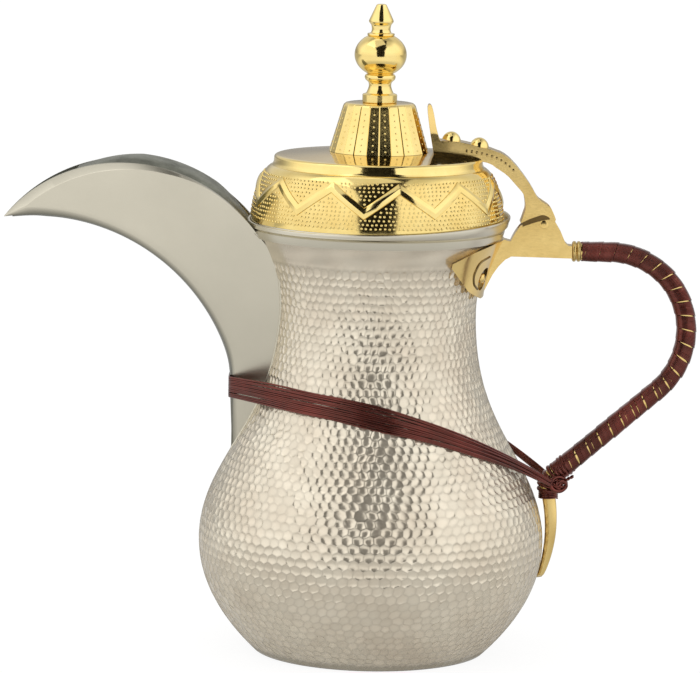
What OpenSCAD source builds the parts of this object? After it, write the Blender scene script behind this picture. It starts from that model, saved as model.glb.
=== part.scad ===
// A dallah: a hammered coffee pot with a beaked spout, a hinged lid and a wire-bound handle.
// Lengths are millimetres. Z is up, the handle points to +X and the spout to -X.
// The origin is the middle of the base, on the table.

/* [Body] */
// Height of the neck's top edge
neck_top_z = 196; // [185:1:205]
// Radius of the base
base_r = 54; // [48:0.5:60]
// Radius of the belly at its widest
belly_r = 80; // [76:0.5:84]
// Height of the widest part of the belly
belly_z = 52; // [46:1:58]
// Radius of the neck's waist
waist_r = 46.5; // [42:0.5:50]
// Height of the neck's waist
waist_z = 158; // [150:1:164]
// Radius of the neck at its top edge
mouth_r = 57.5; // [54:0.5:61]
// Thickness of the body's sheet
body_wall = 1.4; // [1:0.1:2]
// Thickness of the base plate
base_t = 1.6; // [1:0.1:3]

/* [Rim] */
// How far the lip flares past the neck
lip_out = 3.8; // [3:0.1:6]
// Height of the lip above the neck's top edge
lip_h = 7.9; // [6.8:0.1:11]
// Thickness of the lip
lip_t = 1.2; // [0.8:0.1:1.6]
// Height of the ledge that carries the lid, above the neck's top edge
ledge_h = 4.2; // [3.4:0.1:5]
// How far the ledge reaches in past the neck
ledge_in = 2.6; // [2:0.1:4]
// Thickness of the ledge at its inner edge
ledge_t = 1.6; // [1:0.1:2.4]

/* [Spout] */
// Distance of the spout's tip from the pot's axis
spout_reach = 172; // [160:1:185]
// Height of the spout's tip
spout_tip_z = 199; // [192:1:206]
// Radius of the arched upper edge
spout_top_r = 71.5; // [68:0.1:88]
// Radius of the hollow lower edge
spout_under_r = 93.3; // [88:0.1:110]
// Height where the upright keel turns into the hollow edge
keel_top_z = 132; // [126:1:140]
// Height of the keel's foot on the belly
keel_foot_z = 93; // [88:1:98]
// Width of the spout where the neck is narrowest, at the height of its tip
spout_root_w = 44; // [38:0.5:48]
// How much the spout's walls draw together for each millimetre further down, each
spout_lean = 0.17; // [0.1:0.01:0.18]
// Width of the spout at its tip
spout_tip_w = 5; // [4:0.5:8]
// Thickness of the spout's sheets
spout_t = 1.3; // [1:0.1:1.8]
// Length of the open gutter at the tip, measured along X
gutter_l = 40; // [20:1:60]
// Diameter of the strainer's holes
strainer_d = 4.6; // [3:0.1:6]
// Spacing of the strainer's holes
strainer_pitch = 7.5; // [6.5:0.1:9]
// Height of the strainer's lowest row
strainer_z = 138; // [134:1:142]
// Rows of strainer holes
strainer_rows = 5; // [2:1:6]

/* [Lid] */
// Play between the lid's skirt and the lip
lid_play = 1.8; // [1.4:0.1:2.6]
// Gap between the lid and its ledge
lid_gap = 0.1; // [0.05:0.05:0.3]
// Height of the lid's bulging skirt
skirt_h = 25.6; // [20:0.1:30]
// Thickness of the lid's sheet
lid_t = 1.2; // [0.8:0.1:1.6]
// Radius of the lid's cap
cap_r = 47.7; // [45:0.1:50]
// Height of the cap's upright edge
cap_edge_h = 3.1; // [2.4:0.1:5]
// Rise of the cap from its edge to the tower
cap_rise = 3.3; // [2:0.1:5]
// Play between the lid's collar and the ledge
collar_play = 1; // [0.9:0.1:1.6]
// Depth of the collar below the ledge
collar_depth = 6; // [3:0.5:6.5]

/* [Tower and finial] */
// Radius of the tower's foot
tower_foot_r = 23; // [21:0.1:25]
// Radius of the tower's top
tower_top_r = 16.4; // [14:0.1:18]
// Height of the tower
tower_h = 22.4; // [18:0.1:28]
// Number of flutes round the tower
flutes = 24; // [12:1:30]
// Radius of each flute
flute_r = 0.8; // [0.5:0.1:1]
// Height of the finial
finial_h = 45.2; // [40:0.1:52]
// Radius of the finial's ball
ball_r = 12; // [10:0.1:14]
// Diameter of the stud that holds the finial
stud_d = 4; // [3:0.1:5]

/* [Hinge] */
// How far the lid swings open, in degrees
lid_swing = 100; // [60:1:105]
// Distance of the hinge pin from the lip's outer edge
hinge_out = 15.5; // [14:0.1:18]
// Height of the hinge pin above the lid's ledge
hinge_up = 0.1; // [0:0.1:1.5]
// Diameter of the hinge pin
pin_d = 3.4; // [2.6:0.1:4]
// Radial running clearance of the pin in the arm
pin_play = 0.05; // [0.02:0.01:0.1]
// Thickness of the hinge bracket
bracket_t = 8.6; // [8:0.1:10]
// Thickness of the arm's tongue
tongue_t = 3.5; // [3:0.1:4]
// Thickness of the arm's side lips
arm_lip_t = 1.6; // [1.2:0.1:2.4]
// Side play between the leaves of the hinge
leaf_play = 0.3; // [0.2:0.05:0.4]
// Height of the arm's strap where it lies on the cap
arm_h = 6; // [4.5:0.1:7]
// Diameter of the arm's rivet heads
arm_rivet_d = 7.8; // [6:0.1:9]
// Thickness of the bracket's saddle on the neck
saddle_t = 2.6; // [2:0.1:3.4]
// Thickness left under the saddle's rivets
saddle_floor = 1.3; // [1:0.1:1.8]
// Diameter of the saddle's rivet heads
saddle_rivet_d = 5; // [4:0.1:6]
// Angle of the saddle's rivets from the handle
saddle_rivet_angle = 19; // [17:1:23]

/* [Handle] */
// Distance of the grip's centre line from the pot's axis at its furthest
grip_reach = 144; // [138:1:155]
// Height of that furthest point
grip_mid_z = 151.7; // [145:0.1:156]
// Radius of the grip's lower bend
grip_low_r = 37; // [34:1:50]
// Height of the bend where the bar turns down into its tail
grip_end_z = 83.5; // [80:0.5:86]
// Distance of that bend from the belly
grip_end_out = 14; // [13.5:0.5:18]
// Diameter of the handle's bar
bar_d = 6.8; // [6:0.1:7.4]
// Height of the tail's tip
tail_tip_z = 34.5; // [28:0.5:42]
// Width of the tail at its top
tail_w = 6.4; // [5:0.1:7]
// Width of the tail at its tip
tail_tip_w = 2.6; // [2:0.1:4]
// Thickness of the tail
tail_t = 6; // [4:0.1:6.6]

/* [Winding] */
// Turns of the wire band round the grip
grip_turns = 24; // [12:1:24]
// Width of the wire band
band_w = 4.9; // [2:0.1:5]
// Thickness of the wire band
band_t = 0.9; // [0.6:0.1:1.2]
// Turns of wire round the belly and the spout
tie_turns = 6; // [3:1:7]
// Diameter of the tie's wire
tie_d = 0.7; // [0.5:0.05:0.75]
// Spacing of the tie's turns
tie_pitch = 1.5; // [1.45:0.01:1.6]
// Height of the tie's middle on the keel
tie_keel_z = 122.4; // [118:0.1:126]
// Height of the tie's middle at the handle
tie_bar_z = 79.8; // [79:0.1:80.5]

/* [Hidden] */

$fn = 96;
silver = "#CFC8B6";
gold = "#E3BC55";
wire_brown = "#6B2C20";
// Seam left between soldered or seated pieces of one body
seam = 0.05;
eps = 0.01;

// The body's outline: a bowl up to the belly, an S-curve to the waist and a flare to the mouth
bowl_power = 2.1;
s_curve_power = 1.74;
s_curve_lean = 1.342;
body_steps = 36;

function bowl_r(z) = belly_r - (belly_r - base_r) * pow(max(0, belly_z - z) / belly_z, bowl_power);
function s_curve_r(z) =
    waist_r + (belly_r - waist_r) / (1 + pow(s_curve_lean * (z - belly_z) / (waist_z - z), s_curve_power));
function flare_r(z) = waist_r + (mouth_r - waist_r) * pow((z - waist_z) / (neck_top_z - waist_z), 2);
function body_r(z) = z <= belly_z ? bowl_r(z) : z < waist_z - eps ? s_curve_r(z) : flare_r(max(z, waist_z));
body_heights = [for (k = [0:body_steps]) neck_top_z * k / body_steps];

function reversed(list) = [for (k = [len(list) - 1:-1:0]) list[k]];
function body_line(out) = [for (z = body_heights) [body_r(z) + out, z]];
// The straight-sided outline that the sheet really has between two steps
function sheet_r(z) = lookup(z, [for (p = body_line(0)) [p[1], p[0]]]);

// A smooth line through a few chosen points
function through(a, b, c, d, t) =
    0.5 * (2 * b + (c - a) * t + (2 * a - 5 * b + 4 * c - d) * t * t + (3 * b - a - 3 * c + d) * t * t * t);
function smooth(p, n = 4) = concat(
    [for (k = [0:len(p) - 2]) for (j = [0:n - 1])
        through(p[max(k - 1, 0)], p[k], p[k + 1], p[min(k + 2, len(p) - 1)], j / n)],
    [p[len(p) - 1]]);
function shifted(points, by) = [for (p = points) p + by];

// Rim
rim_r = mouth_r + lip_out;
rim_top_z = neck_top_z + lip_h;
ledge_z = neck_top_z + ledge_h;
bore_r = mouth_r - ledge_in;

// Spout
tip = [-spout_reach, spout_tip_z];
spout_root = [-mouth_r, neck_top_z];
keel_x = body_r(keel_foot_z);
keel_turn = [-keel_x, keel_top_z];
// Centre of the circle of radius r through p and q, on the right of the way from p to q
function arc_centre(p, q, r) =
    let (m = (p + q) / 2, d = q - p, h = sqrt(max(0, r * r - d * d / 4)))
    m + h * [d[1], -d[0]] / norm(d);
top_centre = arc_centre(tip, spout_root, spout_top_r);
under_centre = arc_centre(tip, keel_turn, spout_under_r);
spout_root_x = -waist_r;
spout_spread = (spout_root_w - spout_tip_w) / 2 / (spout_reach + spout_root_x);
function spout_half(x, z) = spout_tip_w / 2 + spout_spread * (x + spout_reach) + spout_lean * (z - spout_tip_z);

// Lid
lid_z = ledge_z + lid_gap;
skirt_r = rim_r - lip_t - lid_play;
cap_z = lid_z + skirt_h + seam;
cap_edge_z = cap_z + cap_edge_h;
crown_z = cap_edge_z + cap_rise;
tower_z = crown_z + seam;
finial_z = tower_z + tower_h + seam;
skirt_power = 1.6;
function skirt_line(r_low, r_top, h) =
    [for (t = [0, 0.07, 0.15, 0.25, 0.35, 0.45, 0.55, 0.65, 0.74, 0.82, 0.89, 0.94, 0.98, 1])
        [r_top + (r_low - r_top) * sqrt(1 - pow(t, skirt_power)), lid_z + h * t]];
function skirt_inner_r(z) =
    let (t = (z - lid_z) / (skirt_h - lid_t))
    cap_r - 2 * lid_t + (skirt_r - cap_r + lid_t) * sqrt(1 - pow(t, skirt_power));
collar_r = bore_r - collar_play;
collar_top_z = ledge_z + lid_gap + 4;

// Hinge
hinge_x = rim_r + hinge_out;
hinge_z = ledge_z + hinge_up;
pin_at = [hinge_x, hinge_z];
arm_w = bracket_t + 2 * (leaf_play + arm_lip_t);
slot_w = tongue_t + 2 * leaf_play;
leaf_r = 12;
knuckle_r = 5.2;
// Where the floor of the bracket's slot leads, outward from the pin
slot_floor = [20, -9];
swing_room = atan2(slot_floor[1], slot_floor[0]) + lid_swing + 4;
tongue_r = 4.4;
cap_slope = atan(cap_rise / (cap_r - tower_foot_r));
function cap_top(x) = cap_edge_z + cap_rise * (cap_r - x) / (cap_r - tower_foot_r);
arm_rivet_x = [tower_foot_r + 10, cap_r - 3.6];
arm_shank_r = 1.25;
saddle_rivet_z = hinge_z - 23.3;
saddle_shank_r = 1.4;

// Handle
bar_r = bar_d / 2;
bar_z = hinge_z - 12.5;
bar_x = hinge_x + 13.2;
spigot_r = 2;
spigot_l = 8;
grip_top_r = bar_z - grip_mid_z;
grip_bend_x = grip_reach - grip_top_r;
low_centre = [grip_reach - grip_low_r, grip_mid_z];
end_at = [body_r(grip_end_z) + grip_end_out, grip_end_z];
// The straight run leaves the lower bend on the tangent that meets the end of the grip
end_vec = end_at - low_centre;
low_angle = acos(grip_low_r / norm(end_vec)) + atan2(end_vec[1], end_vec[0]);
low_end = low_centre + grip_low_r * [cos(low_angle), sin(low_angle)];
run_l = norm(end_at - low_end);
run_heading = atan2(end_at[1] - low_end[1], end_at[0] - low_end[0]);
turn_r = 9;
tail_heading = -83;
turn_centre = end_at + turn_r * [cos(run_heading + 90), sin(run_heading + 90)];
turn_end = turn_centre + turn_r * [cos(tail_heading - 90), sin(tail_heading - 90)];
ferrule_l = 4.2;
ferrule_x = bar_x + seam;
ferrule_bead_r = bar_r + 1.4;

// The grip's centre line, by the length along it: [point, heading]
wind_start_x = ferrule_x + ferrule_l + band_w / 2 + 0.4;
lead_l = grip_bend_x - wind_start_x;
top_l = grip_top_r * PI / 2;
low_l = grip_low_r * -low_angle * PI / 180;
wind_end_gap = 14;
wind_l = lead_l + top_l + low_l + run_l - wind_end_gap;
function on_arc(centre, r, a) = [centre + r * [cos(a), sin(a)], a - 90];
function grip_at(s) =
    s < lead_l ? [[wind_start_x + s, bar_z], 0] :
    s < lead_l + top_l ? on_arc([grip_bend_x, grip_mid_z], grip_top_r, 90 - (s - lead_l) / grip_top_r * 180 / PI) :
    s < lead_l + top_l + low_l ? on_arc(low_centre, grip_low_r, -(s - lead_l - top_l) / grip_low_r * 180 / PI) :
    [low_end + (s - lead_l - top_l - low_l) * [cos(run_heading), sin(run_heading)], run_heading];

// A closed skin of triangles over rings that all have the same number of points
module skin(rings) {
    n = len(rings[0]);
    last = len(rings) - 1;
    sides = [for (k = [0:last - 1]) for (j = [0:n - 1])
        let (a = k * n + j, b = k * n + (j + 1) % n) each [[a, a + n, b], [b, a + n, b + n]]];
    caps = [for (j = [1:n - 2]) each [[0, j, j + 1], [last * n, last * n + j + 1, last * n + j]]];
    polyhedron([for (r = rings) each r], concat(sides, caps));
}

// Turns an outline in X and Z into a plate of the given thickness across Y
module plate(t) {
    rotate([90, 0, 0]) linear_extrude(t, center = true) children();
}

// Everything inside the body's skin and the rim, grown by a seam
module pot_core() {
    rotate_extrude() polygon(concat([[0, 0]], body_line(seam), [[0, neck_top_z]]));
    rotate_extrude() polygon(concat([[0, neck_top_z]], shifted(rim_outer(), [seam, 0]), [[0, rim_top_z]]));
}

function rim_outer() = concat(
    smooth([[mouth_r, neck_top_z + seam], [mouth_r + lip_out * 0.3, neck_top_z + ledge_h * 0.5],
        [rim_r - lip_t * 0.4, ledge_z + 0.8], [rim_r, rim_top_z - lip_t * 1.5]], 3),
    [[rim_r, rim_top_z - lip_t / 2], [rim_r - lip_t / 2, rim_top_z]]);

module body_shell() color(silver) difference() {
    rotate_extrude() polygon(concat(body_line(0), reversed(body_line(-body_wall))));
    for (row = [0:strainer_rows - 1], column = [-1:1])
        translate([-waist_r, column * strainer_pitch, strainer_z + row * strainer_pitch])
            rotate([0, 90, 0]) cylinder(d = strainer_d, h = waist_r, center = true);
    for (side = [-1, 1]) saddle_rivet_place(side) cylinder(r = saddle_shank_r + seam, h = 20, center = true);
}

module base_plate() color(silver) cylinder(r = base_r - body_wall - seam, h = base_t);

module rim_band() color(silver) rotate_extrude() polygon(concat(
    [[mouth_r - body_wall, neck_top_z + seam]],
    rim_outer(),
    [[rim_r - lip_t, rim_top_z - lip_t / 2], [rim_r - lip_t, ledge_z],
        [bore_r, ledge_z], [bore_r, ledge_z - ledge_t]]));

// The spout's side view: a crescent between two arcs, and the upright keel below it
module spout_side() {
    difference() {
        translate(top_centre) circle(spout_top_r, $fn = 180);
        translate(under_centre) circle(spout_under_r, $fn = 180);
    }
    translate([-keel_x, keel_foot_z]) square([keel_x - waist_r + spout_t, keel_top_z - keel_foot_z]);
}

// All that lies on the near side of the far wall's outer face, which is moved in by a given depth
module behind_far_wall(depth) {
    room = 4 * spout_reach;
    translate([-spout_reach, spout_tip_w / 2, spout_tip_z]) rotate([0, 0, atan(spout_spread)])
        rotate([-atan(spout_lean * cos(atan(spout_spread))), 0, 0])
            translate([-room / 2, -room - depth, -room / 2]) cube(room);
}

module spout_near_wall() color(silver) mirror([0, 1, 0]) spout_far_wall();

module spout_far_wall() color(silver) difference() {
    intersection() {
        plate(spout_root_w * 2) spout_side();
        behind_far_wall(0);
        translate([-2 * spout_reach, seam / 2, 0]) cube(4 * spout_reach);
    }
    behind_far_wall(spout_t);
    pot_core();
}

// The room between the spout's two walls
module spout_inside() intersection() {
    behind_far_wall(spout_t + seam);
    mirror([0, 1, 0]) behind_far_wall(spout_t + seam);
}

module spout_keel() color(silver) difference() {
    intersection() {
        plate(spout_root_w * 2) intersection() {
            spout_side();
            union() {
                intersection() {
                    translate(under_centre) circle(spout_under_r + spout_t, $fn = 180);
                    translate([-spout_reach * 2, keel_top_z - eps]) square(spout_reach * 2);
                }
                translate([-keel_x, keel_foot_z]) square([spout_t, keel_top_z - keel_foot_z]);
            }
        }
        spout_inside();
    }
    pot_core();
}

module spout_cover() color(silver) difference() {
    intersection() {
        plate(spout_root_w * 2) intersection() {
            difference() {
                translate(top_centre) circle(spout_top_r, $fn = 180);
                translate(top_centre) circle(spout_top_r - spout_t, $fn = 180);
            }
            translate([-spout_reach + gutter_l, neck_top_z]) square([spout_reach - gutter_l, spout_top_r]);
        }
        spout_inside();
    }
    cylinder(r = rim_r + seam, h = neck_top_z * 2);
}

// The bracket's outline from the pin: knuckle, flank, bar end, gusset down the neck and web
bracket_outline = [
    [-11, -0.8], [-7, 2], [0, 3], [4.4, 2.4], [8, -3.6], [10, -8.2], [11.4, -9.5], [13.2, -9.6], [13.2, -15.4],
    [-14.7, -15], [-17.6, -16.6], [-20.6, -19.8], [-23.3, -23.8], [-26, -29.4], [-28.4, -34.1],
    [-40, -34.1], [-40, -6.8], [-20, -6.8], [-15.2, -8], [-14.4, -6.2], [-13, -3.6]];
// The saddle's outline in front view, from the pin
wing_outline = [
    [-8, -6.9], [-22.4, -6.9], [-32, -9.6], [-42.6, -14.3], [-42.9, -16.4], [-34.9, -28.5], [-28.8, -33.6], [-8, -33.6]];

module saddle_rivet_place(side) {
    z = saddle_rivet_z;
    lean = atan((sheet_r(z + 2) - sheet_r(z - 2)) / 4);
    rotate([0, 0, side * saddle_rivet_angle]) translate([sheet_r(z), 0, z]) rotate([0, 90 + lean, 0]) children();
}

module saddle_blank() {
    heights = [for (z = body_heights) if (z > waist_z) z];
    intersection() {
        rotate_extrude() polygon(concat(
            [for (z = heights) [body_r(z) + seam, z]],
            [for (z = reversed(heights)) [body_r(z) + seam + saddle_t, z]]));
        plate(4 * mouth_r) polygon(shifted(wing_outline, pin_at));
    }
}

module hinge_bracket() color(gold) difference() {
    union() {
        difference() {
            saddle_blank();
            for (side = [-1, 1]) saddle_rivet_place(side)
                translate([0, 0, seam + saddle_floor]) cylinder(r = saddle_rivet_d * 1.1, h = 10);
        }
        difference() {
            plate(bracket_t) union() {
                polygon(shifted(bracket_outline, pin_at));
                translate(pin_at) circle(knuckle_r);
            }
            pot_core();
        }
    }
    // The slot that the arm's tongue swings in
    plate(slot_w) translate(pin_at) {
        circle(tongue_r + leaf_play * 2);
        polygon([[0, 0], slot_floor, [20, 20], [-20, 20], [-20, -4]]);
    }
    plate(bracket_t * 2) translate(pin_at) circle(d = pin_d);
    translate([bar_x + 1, 0, bar_z]) rotate([0, -90, 0]) cylinder(r = spigot_r + seam, h = spigot_l + 1 + seam);
    for (side = [-1, 1]) saddle_rivet_place(side) cylinder(r = saddle_shank_r + seam, h = 20, center = true);
}

// A round-headed rivet on +Z: its head from z = 0 up, its tail's head hanging below the grip
module rivet(head_d, head_h, shank_r, grip, tail_r, tail_h) {
    dome_r = (head_d * head_d / 4 + head_h * head_h) / (2 * head_h);
    intersection() {
        translate([0, 0, head_h - dome_r]) sphere(dome_r);
        cylinder(d = head_d + 1, h = head_h + 1);
    }
    translate([0, 0, -grip - tail_h]) cylinder(r = shank_r, h = grip + tail_h + eps);
    translate([0, 0, -grip - tail_h]) cylinder(r = tail_r, h = tail_h);
}

module bracket_rivets() color(gold)
    for (side = [-1, 1]) saddle_rivet_place(side) translate([0, 0, 2 * seam + saddle_floor])
        rivet(saddle_rivet_d, 1.9, saddle_shank_r, saddle_floor + body_wall + 6 * seam, 2.2, 0.8);

module hinge_pin() color(gold)
    translate([hinge_x, 0, hinge_z]) rotate([90, 0, 0]) cylinder(d = pin_d, h = bracket_t, center = true);

// The bar's straight runs are a hair thinner than its bends and reach a little way into them
bar_fit = 0.01;
bar_lap = 0.1;
module bar_arc(centre, r, from, sweep, thinner = 0)
    translate([centre[0], 0, centre[1]]) rotate([90, 0, 0]) rotate([0, 0, from])
        rotate_extrude(angle = sweep) translate([r, 0]) circle(bar_r - thinner);

module bar_run(from, heading, before, l)
    translate([from[0], 0, from[1]]) rotate([0, 90 - heading, 0]) translate([0, 0, -before])
        cylinder(r = bar_r - bar_fit, h = before + l + bar_lap);

// The tail hangs beside the belly and touches it at its tip
tail_rest = 0.1;
tail_stand_off = turn_end[0] - tail_w / 2 - body_r(turn_end[1]);
function tail_share(z) = (z - tail_tip_z) / (turn_end[1] - tail_tip_z);
function tail_in_x(z) = body_r(z) + tail_rest + (tail_stand_off - tail_rest) * pow(tail_share(z), 2);
function tail_out_x(z) = tail_in_x(z) + tail_tip_w + (tail_w - tail_tip_w) * sqrt(tail_share(z));
tail_root_z = turn_end[1] + 2;
tail_heights = [for (k = [0:10]) tail_tip_z + (tail_root_z - tail_tip_z) * k / 10];

module handle_bar() color(gold) {
    lap_angle = bar_lap / grip_low_r * 180 / PI;
    translate([bar_x - spigot_l, 0, bar_z]) rotate([0, 90, 0]) cylinder(r = spigot_r, h = spigot_l + 1);
    bar_run([bar_x + seam, bar_z], 0, 0, grip_bend_x - bar_x - seam);
    bar_arc([grip_bend_x, grip_mid_z], grip_top_r, 0, 90);
    bar_arc(low_centre, grip_low_r, low_angle, lap_angle - low_angle, 2 * bar_fit);
    bar_run(low_end, run_heading, bar_lap, run_l);
    bar_arc(turn_centre, turn_r, run_heading - 90, tail_heading - run_heading);
    plate(tail_t) polygon(concat(
        [for (z = tail_heights) [tail_in_x(z), z]],
        [for (z = reversed(tail_heights)) [tail_out_x(z), z]]));
}

// Two beads in front of the winding
module grip_ferrule() color(gold)
    translate([ferrule_x, 0, bar_z]) rotate([0, 90, 0]) rotate_extrude() difference() {
        union() {
            translate([bar_r + seam, 0]) square([0.6, ferrule_l]);
            for (k = [0.25, 0.75]) translate([bar_r + seam + 0.4, k * ferrule_l]) circle(ferrule_l * 0.23);
        }
        square([bar_r + seam, ferrule_l]);
    }

// One flat band of wires wound along the grip
wind_rings = 20;
wind_sides = [[-0.5, 0.3], [-0.3, 1], [0.3, 1], [0.5, 0.3], [0.35, 0], [-0.35, 0]];
wind_seat = 0.25;
function band_ring(k) =
    let (turn = k / wind_rings, s = wind_l * turn / grip_turns, at = grip_at(s), h = at[1],
        along = [cos(h), 0, sin(h)], out = [-sin(h) * cos(360 * turn), sin(360 * turn), cos(h) * cos(360 * turn)])
    [for (c = wind_sides) [at[0][0], 0, at[0][1]]
        + along * c[0] * band_w + out * (bar_r + wind_seat + c[1] * band_t)];
function carried_on(ring, before, by) =
    let (d = ring[1] - before[1]) [for (p = ring) p + d / norm(d) * by];

module grip_winding() color(wire_brown) {
    count = grip_turns * wind_rings;
    wound = [for (k = [0:count]) band_ring(k)];
    gap = min([for (k = [0:count - wind_rings]) for (j = [0, 1]) if (k + wind_rings + j <= count)
        norm(wound[k + wind_rings + j][0] - wound[k][3])]);
    echo(grip_winding_least_gap = gap);
    skin(concat([carried_on(wound[0], wound[1], band_t)], wound,
        [carried_on(wound[count], wound[count - 1], band_t)]));
}

// The tie lies taut round the keel, the belly and the bar, and sinks towards the handle
tie_rings = 40;
// How far the rings close up, in degrees, where the tie bends round the keel and the bar
tie_gather = 10;
tie_clear = tie_d / 2 + 0.45;
// Room for the bend round the keel's corners
tie_ease = 0.85;
tie_sag_power = 2.5;
bar_at_tie = [(end_at[0] + turn_end[0]) / 2, (end_at[1] + turn_end[1]) / 2];
bar_lean = (end_at[0] - turn_end[0]) / (end_at[1] - turn_end[1]);
tie_span = bar_at_tie[0] + keel_x;
function tie_z(x, up) = tie_keel_z + up
    - (tie_keel_z - tie_bar_z) * pow(max(0, x + keel_x) / tie_span, tie_sag_power);
function belly_at(a, up, r, n = 8) = n == 0 ? r : belly_at(a, up, body_r(tie_z(r * cos(a), up)), n - 1);
tie_facings = [for (a = [0:5:355]) a];
function tie_reach(up) =
    let (spots = concat(
            [for (a = tie_facings) let (r = belly_at(a, up, waist_r)) [r * cos(a), r * sin(a)]],
            [for (side = [-1, 1]) [-keel_x - tie_ease, side * (spout_half(-keel_x, tie_keel_z + up) + tie_ease)]]),
        bar_spot = bar_at_tie[0] + bar_lean * (tie_bar_z + up - bar_at_tie[1]),
        bar_hold = bar_r * 1.45)
    [for (a = tie_facings) let (n = [cos(a), sin(a)])
        max(bar_spot * n[0] + bar_hold, max([for (p = spots) p * n])) + tie_clear];
function tie_radius(reach, a) =
    min([for (k = [0:len(tie_facings) - 1]) let (c = cos(a - tie_facings[k])) if (c > 0.15) reach[k] / c]);

module tie_wires() color(wire_brown) {
    ups = [for (k = [0:tie_turns]) (k - tie_turns / 2) * tie_pitch];
    reaches = [for (up = ups) tie_reach(up)];
    count = tie_turns * tie_rings;
    line = [for (k = [0:count])
        let (turn = k / tie_rings, whole = min(floor(turn), tie_turns - 1), share = turn - whole,
            a = 360 * turn - tie_gather * sin(720 * turn),
            r = tie_radius(reaches[whole], a) * (1 - share) + tie_radius(reaches[whole + 1], a) * share,
            x = r * cos(a))
        [x, r * sin(a), tie_z(x, ups[0] + turn * tie_pitch)]];
    gap = min([for (k = [0:count - tie_rings]) for (j = [-1:1])
        if (k + tie_rings + j <= count) norm(line[k + tie_rings + j] - line[k])]) - tie_d;
    echo(tie_wires_least_gap = gap);
    wound = [for (k = [0:count])
        let (d = line[min(k + 1, count)] - line[max(k - 1, 0)], t = d / norm(d),
            side = cross(t, [0, 0, 1]), u = side / norm(side), v = cross(u, t))
        [for (j = [0:5]) line[k] + tie_d / 2 * (cos(60 * j) * u + sin(60 * j) * v)]];
    skin(concat([carried_on(wound[0], wound[1], tie_d)], wound,
        [carried_on(wound[count], wound[count - 1], tie_d)]));
}

// The tie's end is bound round the top of the tail, with its knot outside
binding_h = 3.6;
tie_foot = tie_z(bar_at_tie[0] + bar_r + 2 * tie_clear, -tie_turns / 2 * tie_pitch) - tie_d;
binding_z = min(turn_end[1], tie_foot) - binding_h;
binding_x = (tail_in_x(binding_z + binding_h / 2) + tail_out_x(binding_z + binding_h / 2)) / 2;
module tie_binding() color(wire_brown) difference() {
    union() {
        translate([binding_x, 0, binding_z]) cylinder(r = tail_w * 0.78, h = binding_h);
        translate([binding_x + tail_w * 0.75, -tail_t * 0.2, binding_z + binding_h / 2]) sphere(binding_h / 2);
    }
    plate(tail_t + 4 * seam) polygon(concat(
        [for (z = tail_heights) [tail_in_x(z) - 2 * seam, z]],
        [for (z = reversed(tail_heights)) [tail_out_x(z) + 2 * seam, z]]));
}

module lid_skirt() color(gold) rotate_extrude() polygon(concat(
    skirt_line(skirt_r, cap_r, skirt_h),
    reversed(skirt_line(skirt_r - lid_t, cap_r - 2 * lid_t, skirt_h - lid_t))));

module arm_rivet_place(x) translate([x, 0, cap_top(x)]) rotate([0, cap_slope, 0]) children();

module lid_cap() color(gold) difference() {
    rotate_extrude() polygon([
        [cap_r, cap_z], [cap_r, cap_edge_z - lid_t / 2], [cap_r - lid_t / 2, cap_edge_z],
        [tower_foot_r, crown_z], [stud_d / 2 + seam, crown_z], [stud_d / 2 + seam, crown_z - lid_t],
        [tower_foot_r, crown_z - lid_t], [cap_r - lid_t, cap_edge_z - lid_t], [cap_r - lid_t, cap_z]]);
    for (x = arm_rivet_x) arm_rivet_place(x) cylinder(r = arm_shank_r + seam, h = 20, center = true);
}

module lid_collar() color(gold) rotate_extrude() {
    z0 = ledge_z - collar_depth;
    polygon([
        [collar_r - lid_t, z0], [collar_r, z0], [collar_r, collar_top_z - lid_t],
        [skirt_inner_r(collar_top_z) - seam * 3, collar_top_z - lid_t],
        [skirt_inner_r(collar_top_z) - seam * 3, collar_top_z], [collar_r - lid_t, collar_top_z]]);
}

module lid_tower() color(gold) difference() {
    rotate_extrude() polygon([
        [tower_foot_r, tower_z], [tower_top_r, tower_z + tower_h], [stud_d / 2 + seam, tower_z + tower_h],
        [stud_d / 2 + seam, tower_z + tower_h - lid_t], [tower_top_r - 2 * lid_t, tower_z + tower_h - lid_t],
        [tower_foot_r - 2 * lid_t, tower_z]]);
    slant = atan((tower_foot_r - tower_top_r) / tower_h);
    for (k = [0:flutes - 1]) rotate([0, 0, 360 * k / flutes])
        translate([tower_foot_r + flute_r * 0.5, 0, tower_z]) rotate([0, -slant, 0])
            cylinder(r = flute_r, h = tower_h * 3, center = true);
}

// The finial's half outline, from its foot up, with the ball as half an ellipse
finial_ball_z = finial_h * 0.487;
finial_ball_h = finial_h * 0.184;
finial_line = concat(
    [[8, 0], [8, 3.6], [7.2, 4.3], [5.9, 6.2], [5.3, 9.2], [5.6, 10.8], [6.6, 11.4], [6.9, 12.3], [6.6, 13.2]],
    [for (a = [-70:14:70]) [ball_r * cos(a), finial_ball_z + finial_ball_h * sin(a)]],
    [[6.2, finial_h - 14.9], [6.2, finial_h - 13.4], [4.3, finial_h - 12.6], [4.3, finial_h - 9.4],
        [5.6, finial_h - 7.8], [4.6, finial_h - 5], [2.6, finial_h - 1.2], [1.6, finial_h - 0.2], [0, finial_h]]);
finial_hole_l = 14;

module finial() color(gold) translate([0, 0, finial_z]) difference() {
    rotate_extrude() polygon(concat([[0, 0]], finial_line));
    translate([0, 0, -1]) cylinder(r = stud_d / 2 + seam, h = finial_hole_l + 1);
}

washer_t = 1.2;
nut_t = 3.2;
stud_foot_z = crown_z - lid_t - washer_t - nut_t - 3 * seam - 1.5;
module finial_stud() color(gold)
    translate([0, 0, stud_foot_z]) cylinder(d = stud_d, h = finial_z + finial_hole_l - seam - stud_foot_z);

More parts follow.
